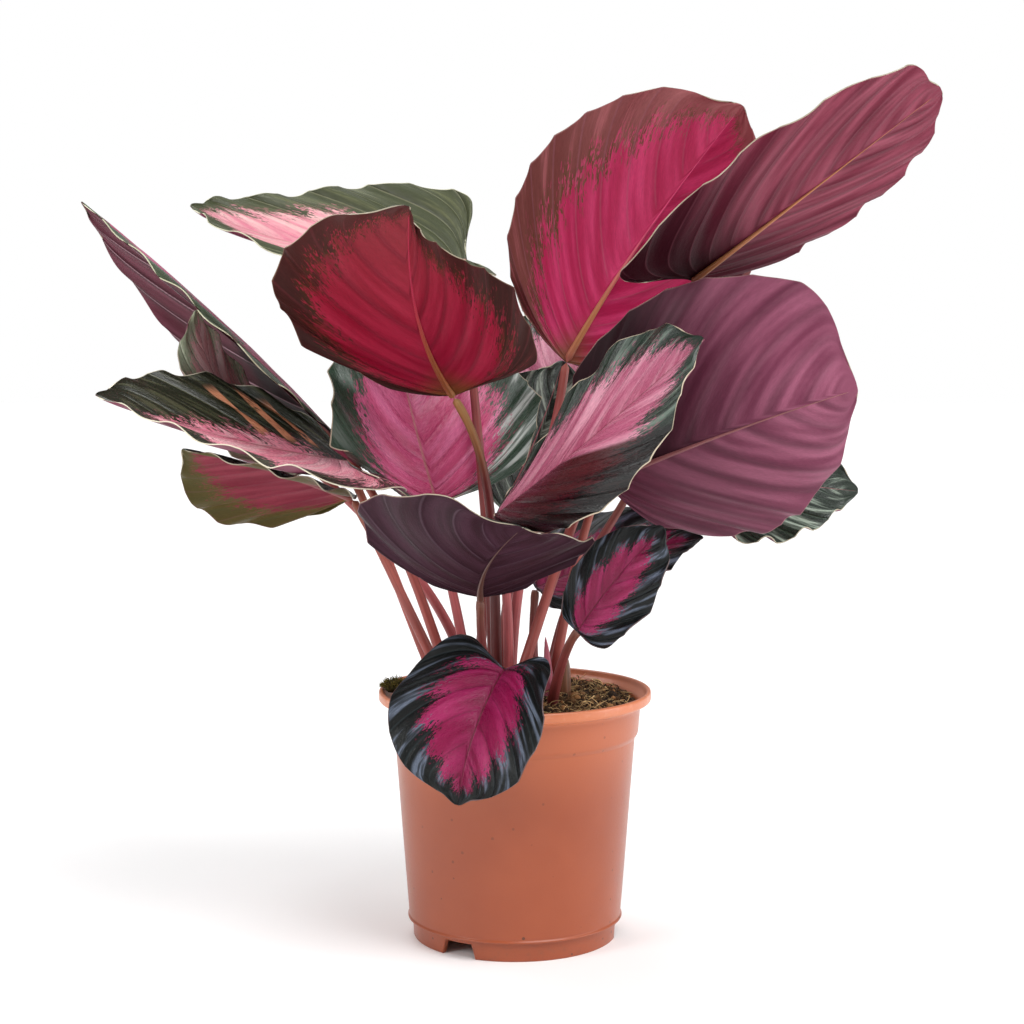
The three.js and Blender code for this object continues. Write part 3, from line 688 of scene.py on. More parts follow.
RED_STALK = (srgb(154, 74, 66), srgb(138, 74, 54))
PINK_STALK = (srgb(180, 90, 92), srgb(150, 76, 68))
OLIVE_STALK = (srgb(92, 34, 32), srgb(160, 116, 66))
DARK_STALK = (srgb(128, 58, 56), srgb(116, 68, 54))
TAN_RIB = srgb(168, 104, 62)
PLUM_RIB = srgb(140, 84, 84)


def half(fold, curl, full, lobe, slim=1.0, blunt=1.0, nose=0.0):
    """One half of a blade, as sheet() takes it. slim narrows it, and fold and curl are one angle in degrees
    or those at the base and the tip."""
    fold, curl = np.atleast_1d(fold), np.atleast_1d(curl)
    return dict(fold=(fold[0], fold[-1]), curl=(curl[0], curl[-1]), full=full, lobe=lobe, slim=slim,
                blunt=blunt, nose=nose)


def leaf(base, mid, tip, width, root, rise, arrive, faces, left, right, waves, wave, look, stems,
         ends=(0.35, 0.3), ribs=12, rib=PLUM_RIB, quilt=0.85, cusp=1.5):
    """What the solid model says of one leaf, then its looks, the number of its side veins, and how high it
    swells between them and how far its margin juts out there, in millimetres."""
    return dict(locals())


LEAVES = [
    leaf((-25, 25, 348), (-95, 10, 352), (-160, -5, 373), 112, (-11, 7), (0, -2, 110), (0, 12, 60),
         ((0, -0.36, 0.93), (0.1, -0.33, 0.93)), half(8, 4, 0.3, 19, 1, 0.85, 5),
         half((32, 2), 2, 0.3, 20, 0.96, 0.85, 5), 6, 2, OLD, DARK_STALK, (0, 0.3), quilt=1.5, cusp=2.4),
    leaf((-30, -25, 280), (-46, -70, 319), (-47, -130, 366), 134, (-9, -4), (-2, 2, 90), (-22, -10, 34),
         ((0.2, 0.65, 0.7), (0.1, 0.5, 0.85)), half((15, 30), (50, 80), 0.95, 24, 0.57, 0.75),
         half(2, 4, 0.12, -3, 1.03, 0.85), 5, 2.5, LIT_RED, OLIVE_STALK, (0.4, 0.3), ribs=9,
         rib=srgb(150, 84, 44), quilt=1.5),
    leaf((26, 0, 296), (63, -5, 356), (109, -30, 419), 134, (-3, 4), (2, 2, 100), (8, -2, 60),
         ((0.2, 0.95, 0.2), (0.2, 0.9, 0.4)), half(14, 16, 0.15, 2, 0.92), half(3, 2, 0.06, 2, 0.99, 1, 4),
         5, 2, LIT, PINK_STALK, rib=TAN_RIB, quilt=1.2),
    leaf((86, -28, 337), (138, -55, 377), (197, -70, 423), 134, (-5, -19), (28, 14, 90), (34, -20, 50),
         ((-0.3, 0.46, 0.8), (-0.3, 0.5, 0.8)), half(5, 4, -0.12, 2, 0.84, 0.8),
         half(-4, 0, 0.06, 24, 1.02, 0.82, 8), 6, 1.5, WINE, RED_STALK, (0, 0.1), rib=TAN_RIB, quilt=1.2,
         cusp=2.2),
    leaf((44, -22, 237), (106, -52, 264), (164, -46, 283), 148, (15, -5), (10, 0, 50), (12, -10, 30),
         ((0.1, 0.95, 0.1), (0.2, 0.95, 0.1)), half(22, 24, 0.05, 6, 0.95, 0.9, 6),
         half(3, 0, -0.03, 8, 1.01, 0.72, 8), 6, 1.5, PLUM, RED_STALK, (0.2, 0.1), ribs=11, quilt=1.3,
         cusp=1),
    leaf((67, 45, 237), (124, 60, 231), (182, 60, 225), 118, (16, 6), (6, 4, 70), (22, 10, 40),
         ((0, -0.45, 0.9), (0.2, -0.45, 0.85)), half(5, -10, 0.1, 6, 1, 0.8), half(5, -10, 0.1, 6, 1, 0.8),
         6, 3, GREEN, DARK_STALK, quilt=1.4),
    leaf((-9, -35, 222), (35, -75, 261), (85, -95, 307), 88, (-3, -9), (0, -4, 50), (-4, -12, 36),
         ((-0.3, -0.55, 0.75), (-0.3, -0.45, 0.8)), half(6, 15, -0.35, 0, 0.8, 0.8, 6), half(22, -75, 0, 0),
         5, 3, PALE, PINK_STALK, (0.7, 0.3), quilt=1.3),
    leaf((-40, 8, 222), (-54, 12, 273), (-66, 40, 325), 134, (-23, 1), (-2, 2, 50), (-4, 2, 34),
         ((0.4, -0.85, 0.3), (0.4, -0.7, 0.6)), half((26, 12), 5, 0.5, -15, 0.82), half(6, 5, 0.25, 12),
         5, 3, look_like(PINK, margin=(50, 72, 56), silver=(200, 210, 204), shine=0.12, more_shine=0.85),
         PINK_STALK, ribs=10, quilt=1.5, cusp=2.2),
    leaf((-7, 42, 217), (11, 56, 253), (25, 62, 292), 80, (-20, 8), (0, 8, 50), (2, 6, 36),
         ((0.35, -0.85, 0.3), (0.35, -0.85, 0.3)), half(14, 5, 0.1, 6), half(25, 5, -0.2, 2),
         5, 3, GREEN, DARK_STALK, ribs=8),
    leaf((-17, -32, 180), (-13, -74, 201), (2, -112, 222), 112, (-14, -13), (0, -2, 24), (1, -6, 18),
         ((0.1, 0.5, 0.85), (0.08, 0.5, 0.85)), half(10, 20, -0.2, 3, 0.92), half(5, 18, 0, 3, 1.2, 1, 8),
         5, 2, SLATE, DARK_STALK, ribs=9, rib=srgb(92, 62, 54)),
    leaf((30, -66, 168), (47, -78, 194), (68, -82, 218), 46, (16.5, -21), (2, -6, 14), (8, -14, 10),
         ((-0.1, -0.9, 0.4), (-0.1, -0.9, 0.3)), half(12, 5, 0, 2, 0.83, 0.8),
         half(8, 0, 0.05, 5, 0.98, 0.75), 3, 3, look_like(MAGENTA, border=0.5), DARK_STALK, ribs=6,
         quilt=1.2, cusp=0.8),
    leaf((-5, -62, 149), (-19, -82, 123), (-27, -88, 91), 80, (-9, -27), (2, -2, 20), (0, -14, 8),
         ((0, -0.9, 0.45), (0, -0.97, 0.2)), half(42, -8, -0.08, 14, 0.98), half(0, -8, 0.05, 16, 1.08),
         4, 1.5, MAGENTA, RED_STALK, (0, 0.3), ribs=7, quilt=1.4, cusp=0.5),
    leaf((-91, 25, 255), (-158, 40, 320), (-222, 30, 376), 122, (-28, 8), (-20, 6, 60), (-34, 6, 46),
         ((0.7, 0.1, 0.7), (0.7, 0.1, 0.7)), half(-3, 0, 0.1, 4), half(-16, -10, 0.1, 4, 1.12),
         6, 1.2, DUSK, RED_STALK, ribs=8, quilt=2.2, cusp=-4),
    leaf((-84, -20, 247), (-139, -46, 260), (-196, -72, 281), 122, (-31, -5), (-24, 0, 52), (-20, -2, 42),
         ((0.1, -0.25, 0.95), (0.1, -0.25, 0.95)), half((-3, 13), (15, 4), 0.15, 33, 0.96, 0.85),
         half((12, 10), 6, 0.1, 4, 0.95), 6, 2, STRIPED, RED_STALK, ribs=10, quilt=1.3),
    leaf((-80, -28, 230), (-119, -50, 245), (-155, -72, 256), 98, (-25, -15), (-24, -4, 48), (-20, -5, 38),
         ((0.2, 0.05, 0.95), (0.2, 0.05, 0.95)), half(0, 0, 0, 2, 0.7), half(-30, -24, 0, 2, 1, 0.9),
         5, 2, LIT_OLIVE, RED_STALK, ribs=9, cusp=0.4),
    leaf((-105, 28, 241), (-148, 28, 275), (-165, 26, 319), 66, (-21, 18), (-6, 8, 60), (-24, 2, 24),
         ((0.5, -0.6, 0.5), (0.5, -0.6, 0.5)), half(12, 8, 0.1, 4), half(-25, 0, 0.1, 4),
         5, 2, MUTED, PINK_STALK, ribs=9, quilt=1.3),
    leaf((19, 70, 260), (31, 84, 284), (51, 100, 315), 92, (-4, 20), (-8, 26, 70), (10, 10, 60),
         ((0, -0.9, 0.4), (0, -0.8, 0.6)), half(10, 5, 0.1, 2), half(10, 5, 0.1, 2),
         5, 3, PALE, DARK_STALK, ribs=9),
    leaf((11, 33, 176), (52, 55, 188), (100, 70, 198), 72, (10, 11), (0, 8, 24), (2, 8, 18),
         ((0, -0.6, 0.8), (0, -0.6, 0.8)), half(10, -10, 0.1, 2), half(5, -10, 0.45, 14, 0.75),
         5, 2, MAGENTA, DARK_STALK, ribs=8),
]


def midrib_of(leaf):
    """The midrib: points, lengths and directions of the quadratic curve through base, mid and tip."""
    base, mid, tip = (np.array(leaf[key], float) for key in ("base", "mid", "tip"))
    control = 2 * mid - (base + tip) / 2
    t = np.linspace(0, 1, MIDRIB_STEPS)[:, None]
    points = bow(base, control, tip, t)
    return points, lengths_along(points), unit(np.gradient(points, axis=0))


def follow(leaf, along):
    """The place, right, upper normal and share of the midrib at a length along it. Past its ends it goes
    straight on."""
    points, lengths, tangents = midrib_of(leaf)
    held = np.clip(along, 0, lengths[-1])
    place = np.stack([np.interp(held, lengths, points[:, i]) for i in range(3)], -1)
    tangent = unit(np.stack([np.interp(held, lengths, tangents[:, i]) for i in range(3)], -1))
    place = place + tangent * (along - held)[..., None]
    start, end = (unit(np.array(f, float)) for f in leaf["faces"])
    face = lerp(start, end, (held / lengths[-1])[..., None])
    normal = unit(face - dot(face, tangent) * tangent)
    return place, np.cross(tangent, normal), normal, held / lengths[-1]


def sheet(leaf, a, v):
    """The blade's middle sheet at a (0 base, 1 tip) and v (-1 left margin, 1 right margin, from above).

    The outline is a sine arch to the power blunt, fuller towards the base by full, with a corner that
    reaches back past the base by lobe and one that reaches past the tip by nose.
    A cross line starts at the rib and sweeps forward to the margin as |v| ** 1.4. Each half rises from
    the rib at the angle fold and gains the angle curl on a circular arc. On that lie the margin's waves,
    the quilting, which rises between side veins as |sin|, cusps of the outline at the veins' ends, a
    groove along the midrib and a slow buckle. Side veins are the lines of equal a - 0.27 * |v| ** 1.15,
    half a step further on in the right half.
    """
    a, v = np.broadcast_arrays(a, v)
    halves = leaf["left"], leaf["right"]

    def pick(key):
        """The half's own value on each side of the rib."""
        return np.where(v < 0, halves[0][key], halves[1][key])

    def pick_along(key, t):
        """The half's own value on each side, run from the one at the base to the one at the tip."""
        at_base, at_tip = (np.where(v < 0, halves[0][key][end], halves[1][key][end]) for end in (0, 1))
        return np.radians(lerp(at_base, at_tip, t))

    total = midrib_of(leaf)[1][-1]
    side, reach = np.sign(v), np.abs(v)
    rise = np.clip(np.sin(np.pi * a), 0, 1)
    vein = a - VEIN_SWEEP * reach**VEIN_BEND + np.where(v > 0, 0.5 / leaf["ribs"], 0)
    swell = np.abs(np.sin(np.pi * leaf["ribs"] * vein))
    pointed = lerp(leaf["ends"][0], leaf["ends"][1], a)
    back = pick("lobe") * np.where(a < LOBE_END, np.sin(np.pi * a / LOBE_END) ** 2, 0)
    ahead = pick("nose") * np.where(a > 1 - LOBE_END, np.sin(np.pi * (1 - a) / LOBE_END) ** 2, 0)
    margin = total * lerp((1 - np.cos(np.pi * a)) / 2, a, pointed) - back + ahead
    fullness = 1 + pick("full") * np.cos(np.pi * a)
    spread = leaf["width"] / 2 * rise ** pick("blunt") * fullness * pick("slim")
    spread = spread + leaf["cusp"] * (1 - swell) ** 1.5 * reach**6 * rise**0.5
    rib = total * (1 - np.cos(np.pi * a**SLANT)) / 2
    along = lerp(rib, margin, reach**SWEEP) + TIP_POINT * smooth(a, 0.93, 1.0)
    place, across, normal, t = follow(leaf, along)
    fold = pick_along("fold", t)
    curl = pick_along("curl", t) / (leaf["width"] / 2)
    curl = np.where(np.abs(curl) < 1e-6, 1e-6, curl)
    span = spread * reach
    turn = fold + curl * span
    place = place + across * (side * (np.sin(turn) - np.sin(fold)) / curl)[..., None]
    place = place + normal * ((np.cos(fold) - np.cos(turn)) / curl)[..., None]
    out = normal * np.cos(turn)[..., None] - across * (side * np.sin(turn))[..., None]
    phase = 2 * np.pi * leaf["waves"] * (a + VEIN_SWEEP * (1 - reach**VEIN_BEND)) + side
    waves = leaf["wave"] * reach**2 * np.sin(phase) * rise**0.5
    uneven = 0.75 + 0.45 * np.sin(2.1 * leaf["ribs"] * vein + leaf["seed"] + side)
    quilting = leaf["quilt"] * uneven * (swell - SWELL_MIDDLE) * smooth(reach, 0.0, 0.3)
    quilting = quilting * (1 - 0.35 * reach) * rise**0.7
    groove = GROOVE * np.exp(-((span / GROOVE_WIDTH) ** 2)) * rise**0.5
    buckle = BUCKLE * np.sin(5.3 * a + leaf["seed"]) * np.sin(2.4 * v + 2 * leaf["seed"]) * rise * reach
    lift = waves + quilting - groove + buckle
    return place + out * lift[..., None], out, vein


def blade_piece(number, leaf):
    """A blade: the sheet's grid laid on both sides of it, half its thickness away, and joined at the rim.

    Columns crowd towards the margins as 1.35 t - 0.35 t ** 3.
    """
    small = leaf["width"] < SMALL_WIDTH
    rows, columns = (SMALL_ROWS, SMALL_COLUMNS) if small else (ROWS, COLUMNS)
    t = np.linspace(-1, 1, columns + 1)
    a = np.linspace(0, 1, rows + 1)[:, None]
    v = ((1 + CROWDING) * t - CROWDING * t**3)[None]
    points, out, vein = sheet(leaf, a, v)
    normal = unit(np.cross(np.gradient(points, axis=1), np.gradient(points, axis=0)))
    normal = np.where(dot(normal, out) < 0, -normal, normal)
    normal[0], normal[-1] = out[1, columns // 2], out[-2, columns // 2]
    middle, lift = poled(points), poled(normal) * BLADE_THICKNESS / 2
    ids, quads, triangles = poled_grid(rows, columns, closed=False)
    count = len(middle)
    near, far = ids[:-1], ids[1:]
    rim = np.concatenate([
        np.stack([near[:, 0], far[:, 0], far[:, 0] + count, near[:, 0] + count], -1),
        np.stack([far[:, -1], near[:, -1], near[:, -1] + count, far[:, -1] + count], -1),
    ])
    upper = quads.tolist() + triangles.tolist()
    under = (quads[:, ::-1] + count).tolist() + (triangles[:, ::-1] + count).tolist()
    top = len(upper)
    skin_of_face = np.concatenate([np.zeros(top), np.ones(top), np.zeros(len(rim))])
    flat = np.concatenate([np.zeros(2 * top, bool), np.ones(len(rim), bool)])
    marks = poled(np.stack(np.broadcast_arrays(v + 0 * a, a + 0 * v, vein), -1))
    skins = [upper_skin(f"leaf_{number}_upper", leaf, leaf["look"]),
             under_skin(f"leaf_{number}_under", leaf, leaf["look"])]
    both = np.concatenate([middle + lift, middle - lift])
    return piece(f"leaf_{number}", both, upper + under + rim.tolist(), skins, "leaf", [f"blade_{number}"],
                 {"leaf": np.concatenate([marks, marks])}, skin_of_face, flat)


def stalk_piece(number, leaf):
    """A stalk on a cubic curve from the soil to the blade, then the rib along the blade's underside.

    Its radius shrinks evenly up to the blade, with a slight joint below it and a sheath at its foot. The
    rib thins with the square of what is left of the blade, down to a thread at the tip. The bend between
    the two is eased by averaging five neighbours.
    """
    foot = np.array([*leaf["root"], STALK_FOOT], float)
    total = midrib_of(leaf)[1][-1]
    along = np.linspace(2, total * 0.985, STALK_STEPS)
    place, across, normal, t = follow(leaf, along)
    rib = STALK_HIGH_RADIUS * (0.1 + 0.9 * (1 - t) ** 2)
    under = place - normal * (0.85 * rib + 0.3)[:, None]
    _, across0, normal0, _ = follow(leaf, np.zeros(1))
    base = np.array(leaf["base"], float) - 1.6 * normal0[0]
    rise, arrive = np.array(leaf["rise"], float), np.array(leaf["arrive"], float)
    s = np.linspace(0, 1, STALK_STEPS)[:, None]
    route = (1 - s) ** 3 * foot + 3 * s * (1 - s) ** 2 * (foot + rise)
    route = route + 3 * s**2 * (1 - s) * (base - arrive) + s**3 * base
    path = np.concatenate([route, under])
    share = np.concatenate([s[:, 0], 1 + t])
    kernel = np.array([1, 3, 5, 3, 1]) / 13
    eased = np.stack([np.convolve(np.pad(path[:, i], 2, "edge"), kernel, "valid") for i in range(3)], -1)
    path = lerp(path, eased, smooth(np.abs(share - 1), 0.25, 0.05)[:, None])
    reference = np.concatenate([np.repeat(across0, STALK_STEPS, 0), across])
    joint = 1 + JOINT_SWELL * np.exp(-(((share - JOINT_AT) / 0.05) ** 2)) * (share < 1.05)
    sheath = 1 + SHEATH_SWELL * np.exp(-((path[:, 2] - STALK_FOOT) / SHEATH_HEIGHT)) * (share < 1)
    radius = np.where(share < 1, lerp(STALK_LOW_RADIUS, STALK_HIGH_RADIUS, share), 0) * joint * sheath
    radius[STALK_STEPS:] = rib * joint[STALK_STEPS:]
    radius[0] = radius[-1] = 0
    depth = radius * lerp(1, 0.85, smooth(share, 0.9, 1.1))
    points, faces, angle = sweep_tube(path, reference, radius, depth, STALK_SIDES)
    grid = np.broadcast_arrays(angle[None] / (2 * np.pi), lengths_along(path)[:, None], share[:, None])
    look = leaf["look"]
    far_rib = look["through_light"] if look["through_share"] else leaf["rib"]
    skin = stalk_skin(f"stalk_{number}_skin", *leaf["stems"], leaf["rib"], far_rib, leaf["seed"])
    return piece(f"petiole_{number}", points, faces, [skin], "stalk", [f"stalk_{number}"],
                 {"stem": poled(np.stack(grid, -1))})


def rounded(corners):
    """A profile of (radius, height, rounding) corners, with each corner eased by a quadratic curve that
    starts and ends its rounding away from it."""
    points = np.array([c[:2] for c in corners], float)
    t = np.linspace(0, 1, 5)[:, None]
    parts = [points[:1]]
    for before, here, after, (_, _, ease) in zip(points, points[1:], points[2:], corners[1:]):
        if ease == 0:
            parts.append(here[None])
            continue
        start = here + unit(before - here) * min(ease, np.linalg.norm(before - here) * 0.45)
        end = here + unit(after - here) * min(ease, np.linalg.norm(after - here) * 0.45)
        parts.append(bow(start, here, end, t))
    return np.concatenate([*parts, points[-1:]])


def thicken(profile, longest):
    """The profile with extra points, so that no stretch is longer than longest."""
    lengths = np.linalg.norm(np.diff(profile, axis=0), axis=1)
    counts = np.maximum(np.ceil(lengths / longest).astype(int), 1)
    parts = [p + (q - p) * np.arange(c)[:, None] / c for p, q, c in zip(profile[:-1], profile[1:], counts)]
    return np.concatenate([*parts, profile[-1:]])


POT_PROFILE = [
    (0, FLOOR_BOTTOM, 0),
    (FOOT_INNER_RADIUS, FLOOR_BOTTOM, 0.5),
    (FOOT_INNER_RADIUS, 0, 0.4),
    (FOOT_RADIUS, 0, 0.5),
    (FOOT_RADIUS + 0.5, FOOT_HEIGHT - 1, 0.2),
    (BODY_BOTTOM_RADIUS + 0.7, FOOT_HEIGHT - 0.4, 0.25),
    (BODY_BOTTOM_RADIUS + 0.7, FOOT_HEIGHT + 0.3, 0.25),
    (BODY_BOTTOM_RADIUS, FOOT_HEIGHT + 1, 0.3),
    (BODY_TOP_RADIUS, COLLAR_BOTTOM - 1, 0.4),
    (COLLAR_RADIUS - 0.9, COLLAR_BOTTOM + 1.4, 1.0),
    (COLLAR_RADIUS, COLLAR_TOP, 0.4),
    (COLLAR_RADIUS + 0.6, POT_HEIGHT - RIM_BAND - 1.4, 1.6),
    (RIM_RADIUS - 0.8, POT_HEIGHT - RIM_BAND - 0.2, 0.9),
    (RIM_RADIUS, POT_HEIGHT - RIM_BAND + 0.8, 0.5),
    (RIM_RADIUS, POT_HEIGHT, 1.5),
    (RIM_RADIUS - 2.2, POT_HEIGHT, 0.9),
    (RIM_RADIUS - 3.2, POT_HEIGHT - 2.4, 1.0),
    (COLLAR_RADIUS - 1, POT_HEIGHT - 5.4, 1.5),
    (COLLAR_RADIUS - WALL, COLLAR_TOP, 0.6),
    (BODY_TOP_RADIUS - WALL, COLLAR_BOTTOM - 2, 1.0),
    (BODY_BOTTOM_RADIUS - WALL, FLOOR_TOP, 1.0),
    (0, FLOOR_TOP, 0),
]


def notch_height(angle):
    """How far the foot's lower edge is lifted at an angle in degrees: straight sided notches."""
    away = np.min([np.abs((angle - c + 180) % 360 - 180) for c in FOOT_NOTCHES], axis=0)
    distance = np.radians(away) * FOOT_RADIUS
    return NOTCH_HEIGHT * np.clip((NOTCH_WIDTH / 2 - distance) / ((NOTCH_WIDTH - NOTCH_TOP_WIDTH) / 2), 0, 1)


def drain_cutter():
    """Upright round rods, evenly spaced on a circle, that stand through the pot's floor."""
    ring = np.linspace(0, 2 * np.pi, DRAIN_SIDES, endpoint=False)
    holes = (np.arange(DRAIN_HOLES) + 0.5) * 2 * np.pi / DRAIN_HOLES
    centres = DRAIN_CIRCLE * np.stack([np.cos(holes), np.sin(holes)], -1)[:, None]
    circle = centres + DRAIN_RADIUS * np.stack([np.cos(ring), np.sin(ring)], -1)[None]
    ends = [np.concatenate([circle, np.full((DRAIN_HOLES, DRAIN_SIDES, 1), z)], -1) for z in DRAIN_CUT]
    points = np.concatenate(ends, 1).reshape(-1, 3)
    ids = np.arange(DRAIN_SIDES)
    beside = (ids + 1) % DRAIN_SIDES
    walls = np.stack([ids, beside, beside + DRAIN_SIDES, ids + DRAIN_SIDES], -1)
    offsets = 2 * DRAIN_SIDES * np.arange(DRAIN_HOLES)
    faces = (walls[None] + offsets[:, None, None]).reshape(-1, 4).tolist()
    faces += [(ids[::-1] + o).tolist() for o in offsets] + [(ids + DRAIN_SIDES + o).tolist() for o in offsets]
    mesh = bpy.data.meshes.new("drain_cutter")
    mesh.from_pydata((points * MM + AXIS).tolist(), [], faces)
    return placed("drain_cutter", mesh)


def pot_piece():
    """The pot: its rounded profile turned about the axis, the foot's skirt squeezed up over its notches, and
    round drain holes cut through the floor."""
    profile = thicken(rounded(POT_PROFILE), POT_STRETCH)
    corners = [c + s * math.degrees(w / 2 / FOOT_RADIUS) for c in FOOT_NOTCHES for s in (-1, 1)
               for w in (NOTCH_WIDTH, NOTCH_TOP_WIDTH)]
    angle = np.unique(np.round(np.concatenate([np.arange(-180, 180, POT_TURN), corners]), 3))
    radius, height = profile[:, 0][:, None], profile[:, 1][:, None]
    lift = notch_height(angle)[None]
    skirt = (radius >= FOOT_INNER_RADIUS - 0.6) & (height < FLOOR_BOTTOM) & (radius < FOOT_RADIUS + 1)
    height = np.where(skirt, lift + height * (FLOOR_BOTTOM - lift) / FLOOR_BOTTOM, height)
    turn = np.radians(angle)[None]
    points = poled(turned(radius, turn, height))
    faces = round_faces(len(profile) - 1, len(angle))
    pot = piece("nursery_pot", points, faces, [pot_skin()], "pot_plastic", ["pot"])
    tool = drain_cutter()
    cut = pot.modifiers.new("drains", "BOOLEAN")
    cut.operation, cut.solver, cut.object = "DIFFERENCE", "EXACT", tool
    baked = bpy.data.meshes.new_from_object(pot.evaluated_get(bpy.context.evaluated_depsgraph_get()))
    pot.modifiers.clear()
    pot.data = baked
    bpy.data.objects.remove(tool)
    return pot


def pot_skin():
    """Satin terracotta plastic: faint cloudy tone, painted light that makes it paler towards the rim, fine
    turning marks, rubbed patches on the rim, soil dust round the foot and stray dark specks."""

    def build(n):
        place = n.place()
        z = n.split(place)[2]
        cloud = n.noise(place, 0.02, 3.0, 0.6)
        fine = n.noise(place, 0.9, 3.0, 0.6)
        rings = n.noise(n.join(0.0, 0.0, z), 1.6, 3.0, 0.7)
        colour = n.mix(n.step(cloud, 0.3, 0.7), srgb(150, 70, 38), srgb(157, 76, 43))
        # Painted light: paler towards the rim and palest on the rim band, where the top of the pot is more
        # lit.
        colour = n.mix(n.step(z, 70.0, 124.0, 0.0, 0.9), colour, srgb(184, 98, 60))
        colour = n.mix(n.step(z, 119.0, 123.0), colour, srgb(204, 118, 78))
        rubbed = n.times(n.step(n.noise(place, 0.14, 4.0, 0.7), 0.52, 0.7), n.step(z, 118.0, 124.0))
        colour = n.mix(n.times(rubbed, 0.35), colour, srgb(216, 150, 120))
        specks = n.add("ShaderNodeTexVoronoi", {"Vector": place, "Scale": 0.2}, feature="F1").outputs
        size = n.step(n.split(specks["Color"])[0], 0.6, 1.0, 0.0, 0.17)
        spot = n.math("LESS_THAN", specks["Distance"], size)
        dirt = n.times(spot, n.times(n.step(z, 3.0, 60.0, 1.0, 0.45), 0.85))
        colour = n.mix(dirt, colour, srgb(74, 44, 30))
        dust = n.times(n.step(n.noise(place, 0.25, 5.0, 0.7), 0.5, 0.72), n.fall(z, 2.0, 16.0))
        colour = n.mix(n.times(dust, 0.5), colour, srgb(120, 72, 50))
        scuff = n.times(n.step(n.noise(place, 0.35, 5.0, 0.75), 0.6, 0.7), n.fall(z, 40.0, 4.0))
        gloss = n.line(scuff, 0.12, n.sway(0.33, fine, 0.5, 0.15))
        return colour, gloss, (n.line(rings, 0.5, n.times(fine, 0.5)), 0.00012, 0.5)

    return material("pot_plastic", build, coat=0.06)


def soil_height(x, y):
    """The soil's top: from the crown down to the edge with the square of the way out, plus lumps of four
    sizes."""
    s = np.hypot(x, y) / (COLLAR_RADIUS - WALL)
    top = lerp(SOIL_CROWN, SOIL_EDGE, s**2)
    lumps = 1.7 * lattice_noise(x / 11, y / 11, 1) + 1.3 * lattice_noise(x / 5, y / 5, 2)
    grit = 0.8 * np.abs(lattice_noise(x / 2.1, y / 2.1, 3))
    return top + lumps + grit + 0.35 * lattice_noise(x / 0.9, y / 0.9, 4)


def on_soil(radius, turn):
    """Points of the soil's top at a radius from the pot's axis and an angle round it."""
    x, y = radius * np.cos(turn), radius * np.sin(turn)
    return np.stack([x, y, soil_height(x, y)], -1)


def soil_piece():
    """The soil's body: plain rings below, where the pot hides it, with the lumpy mound on top."""
    radii = (BODY_BOTTOM_RADIUS, BODY_TOP_RADIUS, COLLAR_RADIUS)
    low_wall, body_wall, top_wall = (radius - WALL - SOIL_GAP for radius in radii)
    bottom = FLOOR_TOP + 0.3
    side = [(0, bottom), (low_wall, bottom), (body_wall, COLLAR_BOTTOM - 3), (top_wall, COLLAR_TOP)]
    turn = np.linspace(0, 2 * np.pi, SOIL_SIDES, endpoint=False)
    rings = top_wall * np.linspace(1, 0, SOIL_RINGS)[:, None]
    points = np.concatenate([[turned(r, turn, z) for r, z in side], on_soil(rings, turn)])
    faces = round_faces(len(points) - 1, SOIL_SIDES)
    return piece("peat", poled(points), faces, [peat_skin()], "soil", ["soil"])


def peat_skin():
    """Damp dark peat with brown crumbs and tan flecks of fibre."""

    def build(n):
        place = n.place()
        lumps = n.noise(place, 0.35, 5.0, 0.7)
        crumbs = n.noise(place, 1.4, 4.0, 0.75)
        colour = n.mix(n.step(lumps, 0.35, 0.65), srgb(30, 21, 15), srgb(84, 60, 40))
        colour = n.mix(n.step(crumbs, 0.52, 0.7), colour, srgb(166, 126, 80))
        return colour, n.line(crumbs, 0.3, 0.65), (n.plus(lumps, crumbs), 0.0012, 0.9)

    return material("peat", build, 0.25)


def tone_skin(name, dark, light):
    """Small bits whose layer called tone picks a colour between two."""

    def build(n):
        tone = n.add("ShaderNodeAttribute", attribute_name="tone").outputs["Fac"]
        grain = n.noise(n.place(), 1.2, 3.0, 0.7)
        share = n.sway(tone, grain, 0.5, 0.6, clamp=True)
        return n.mix(share, dark, light), n.line(grain, 0.2, 0.75), (grain, 0.0004, 0.6)

    return material(name, build, 0.25)


def ico_lump(rng, level):
    """A small lump: an icosahedron, cut once more for level 2, with its points pushed in and out."""
    g = (1 + 5**0.5) / 2
    points = [(-1, g, 0), (1, g, 0), (-1, -g, 0), (1, -g, 0), (0, -1, g), (0, 1, g),
              (0, -1, -g), (0, 1, -g), (g, 0, -1), (g, 0, 1), (-g, 0, -1), (-g, 0, 1)]
    faces = [(0, 11, 5), (0, 5, 1), (0, 1, 7), (0, 7, 10), (0, 10, 11), (1, 5, 9), (5, 11, 4), (11, 10, 2),
             (10, 7, 6), (7, 1, 8), (3, 9, 4), (3, 4, 2), (3, 2, 6), (3, 6, 8), (3, 8, 9), (4, 9, 5),
             (2, 4, 11), (6, 2, 10), (8, 6, 7), (9, 8, 1)]
    points = [np.array(p, float) for p in points]
    if level == 2:
        middles = {}
        cut = []
        for a, b, c in faces:
            for p, q in ((a, b), (b, c), (c, a)):
                if (q, p) not in middles:
                    middles[p, q] = middles[q, p] = len(points)
                    points.append((points[p] + points[q]) / 2)
            ab, bc, ca = middles[a, b], middles[b, c], middles[c, a]
            cut += [(a, ab, ca), (b, bc, ab), (c, ca, bc), (ab, bc, ca)]
        faces = cut
    points = unit(np.array(points))
    return points * rng.uniform(0.75, 1.15, (len(points), 1)), faces


def soil_spots(rng, count):
    """Random places on the soil's top."""
    radius = (COLLAR_RADIUS - WALL - 1.5) * 0.97 * np.sqrt(rng.uniform(0, 1, count))
    return on_soil(radius, rng.uniform(0, 2 * np.pi, count))


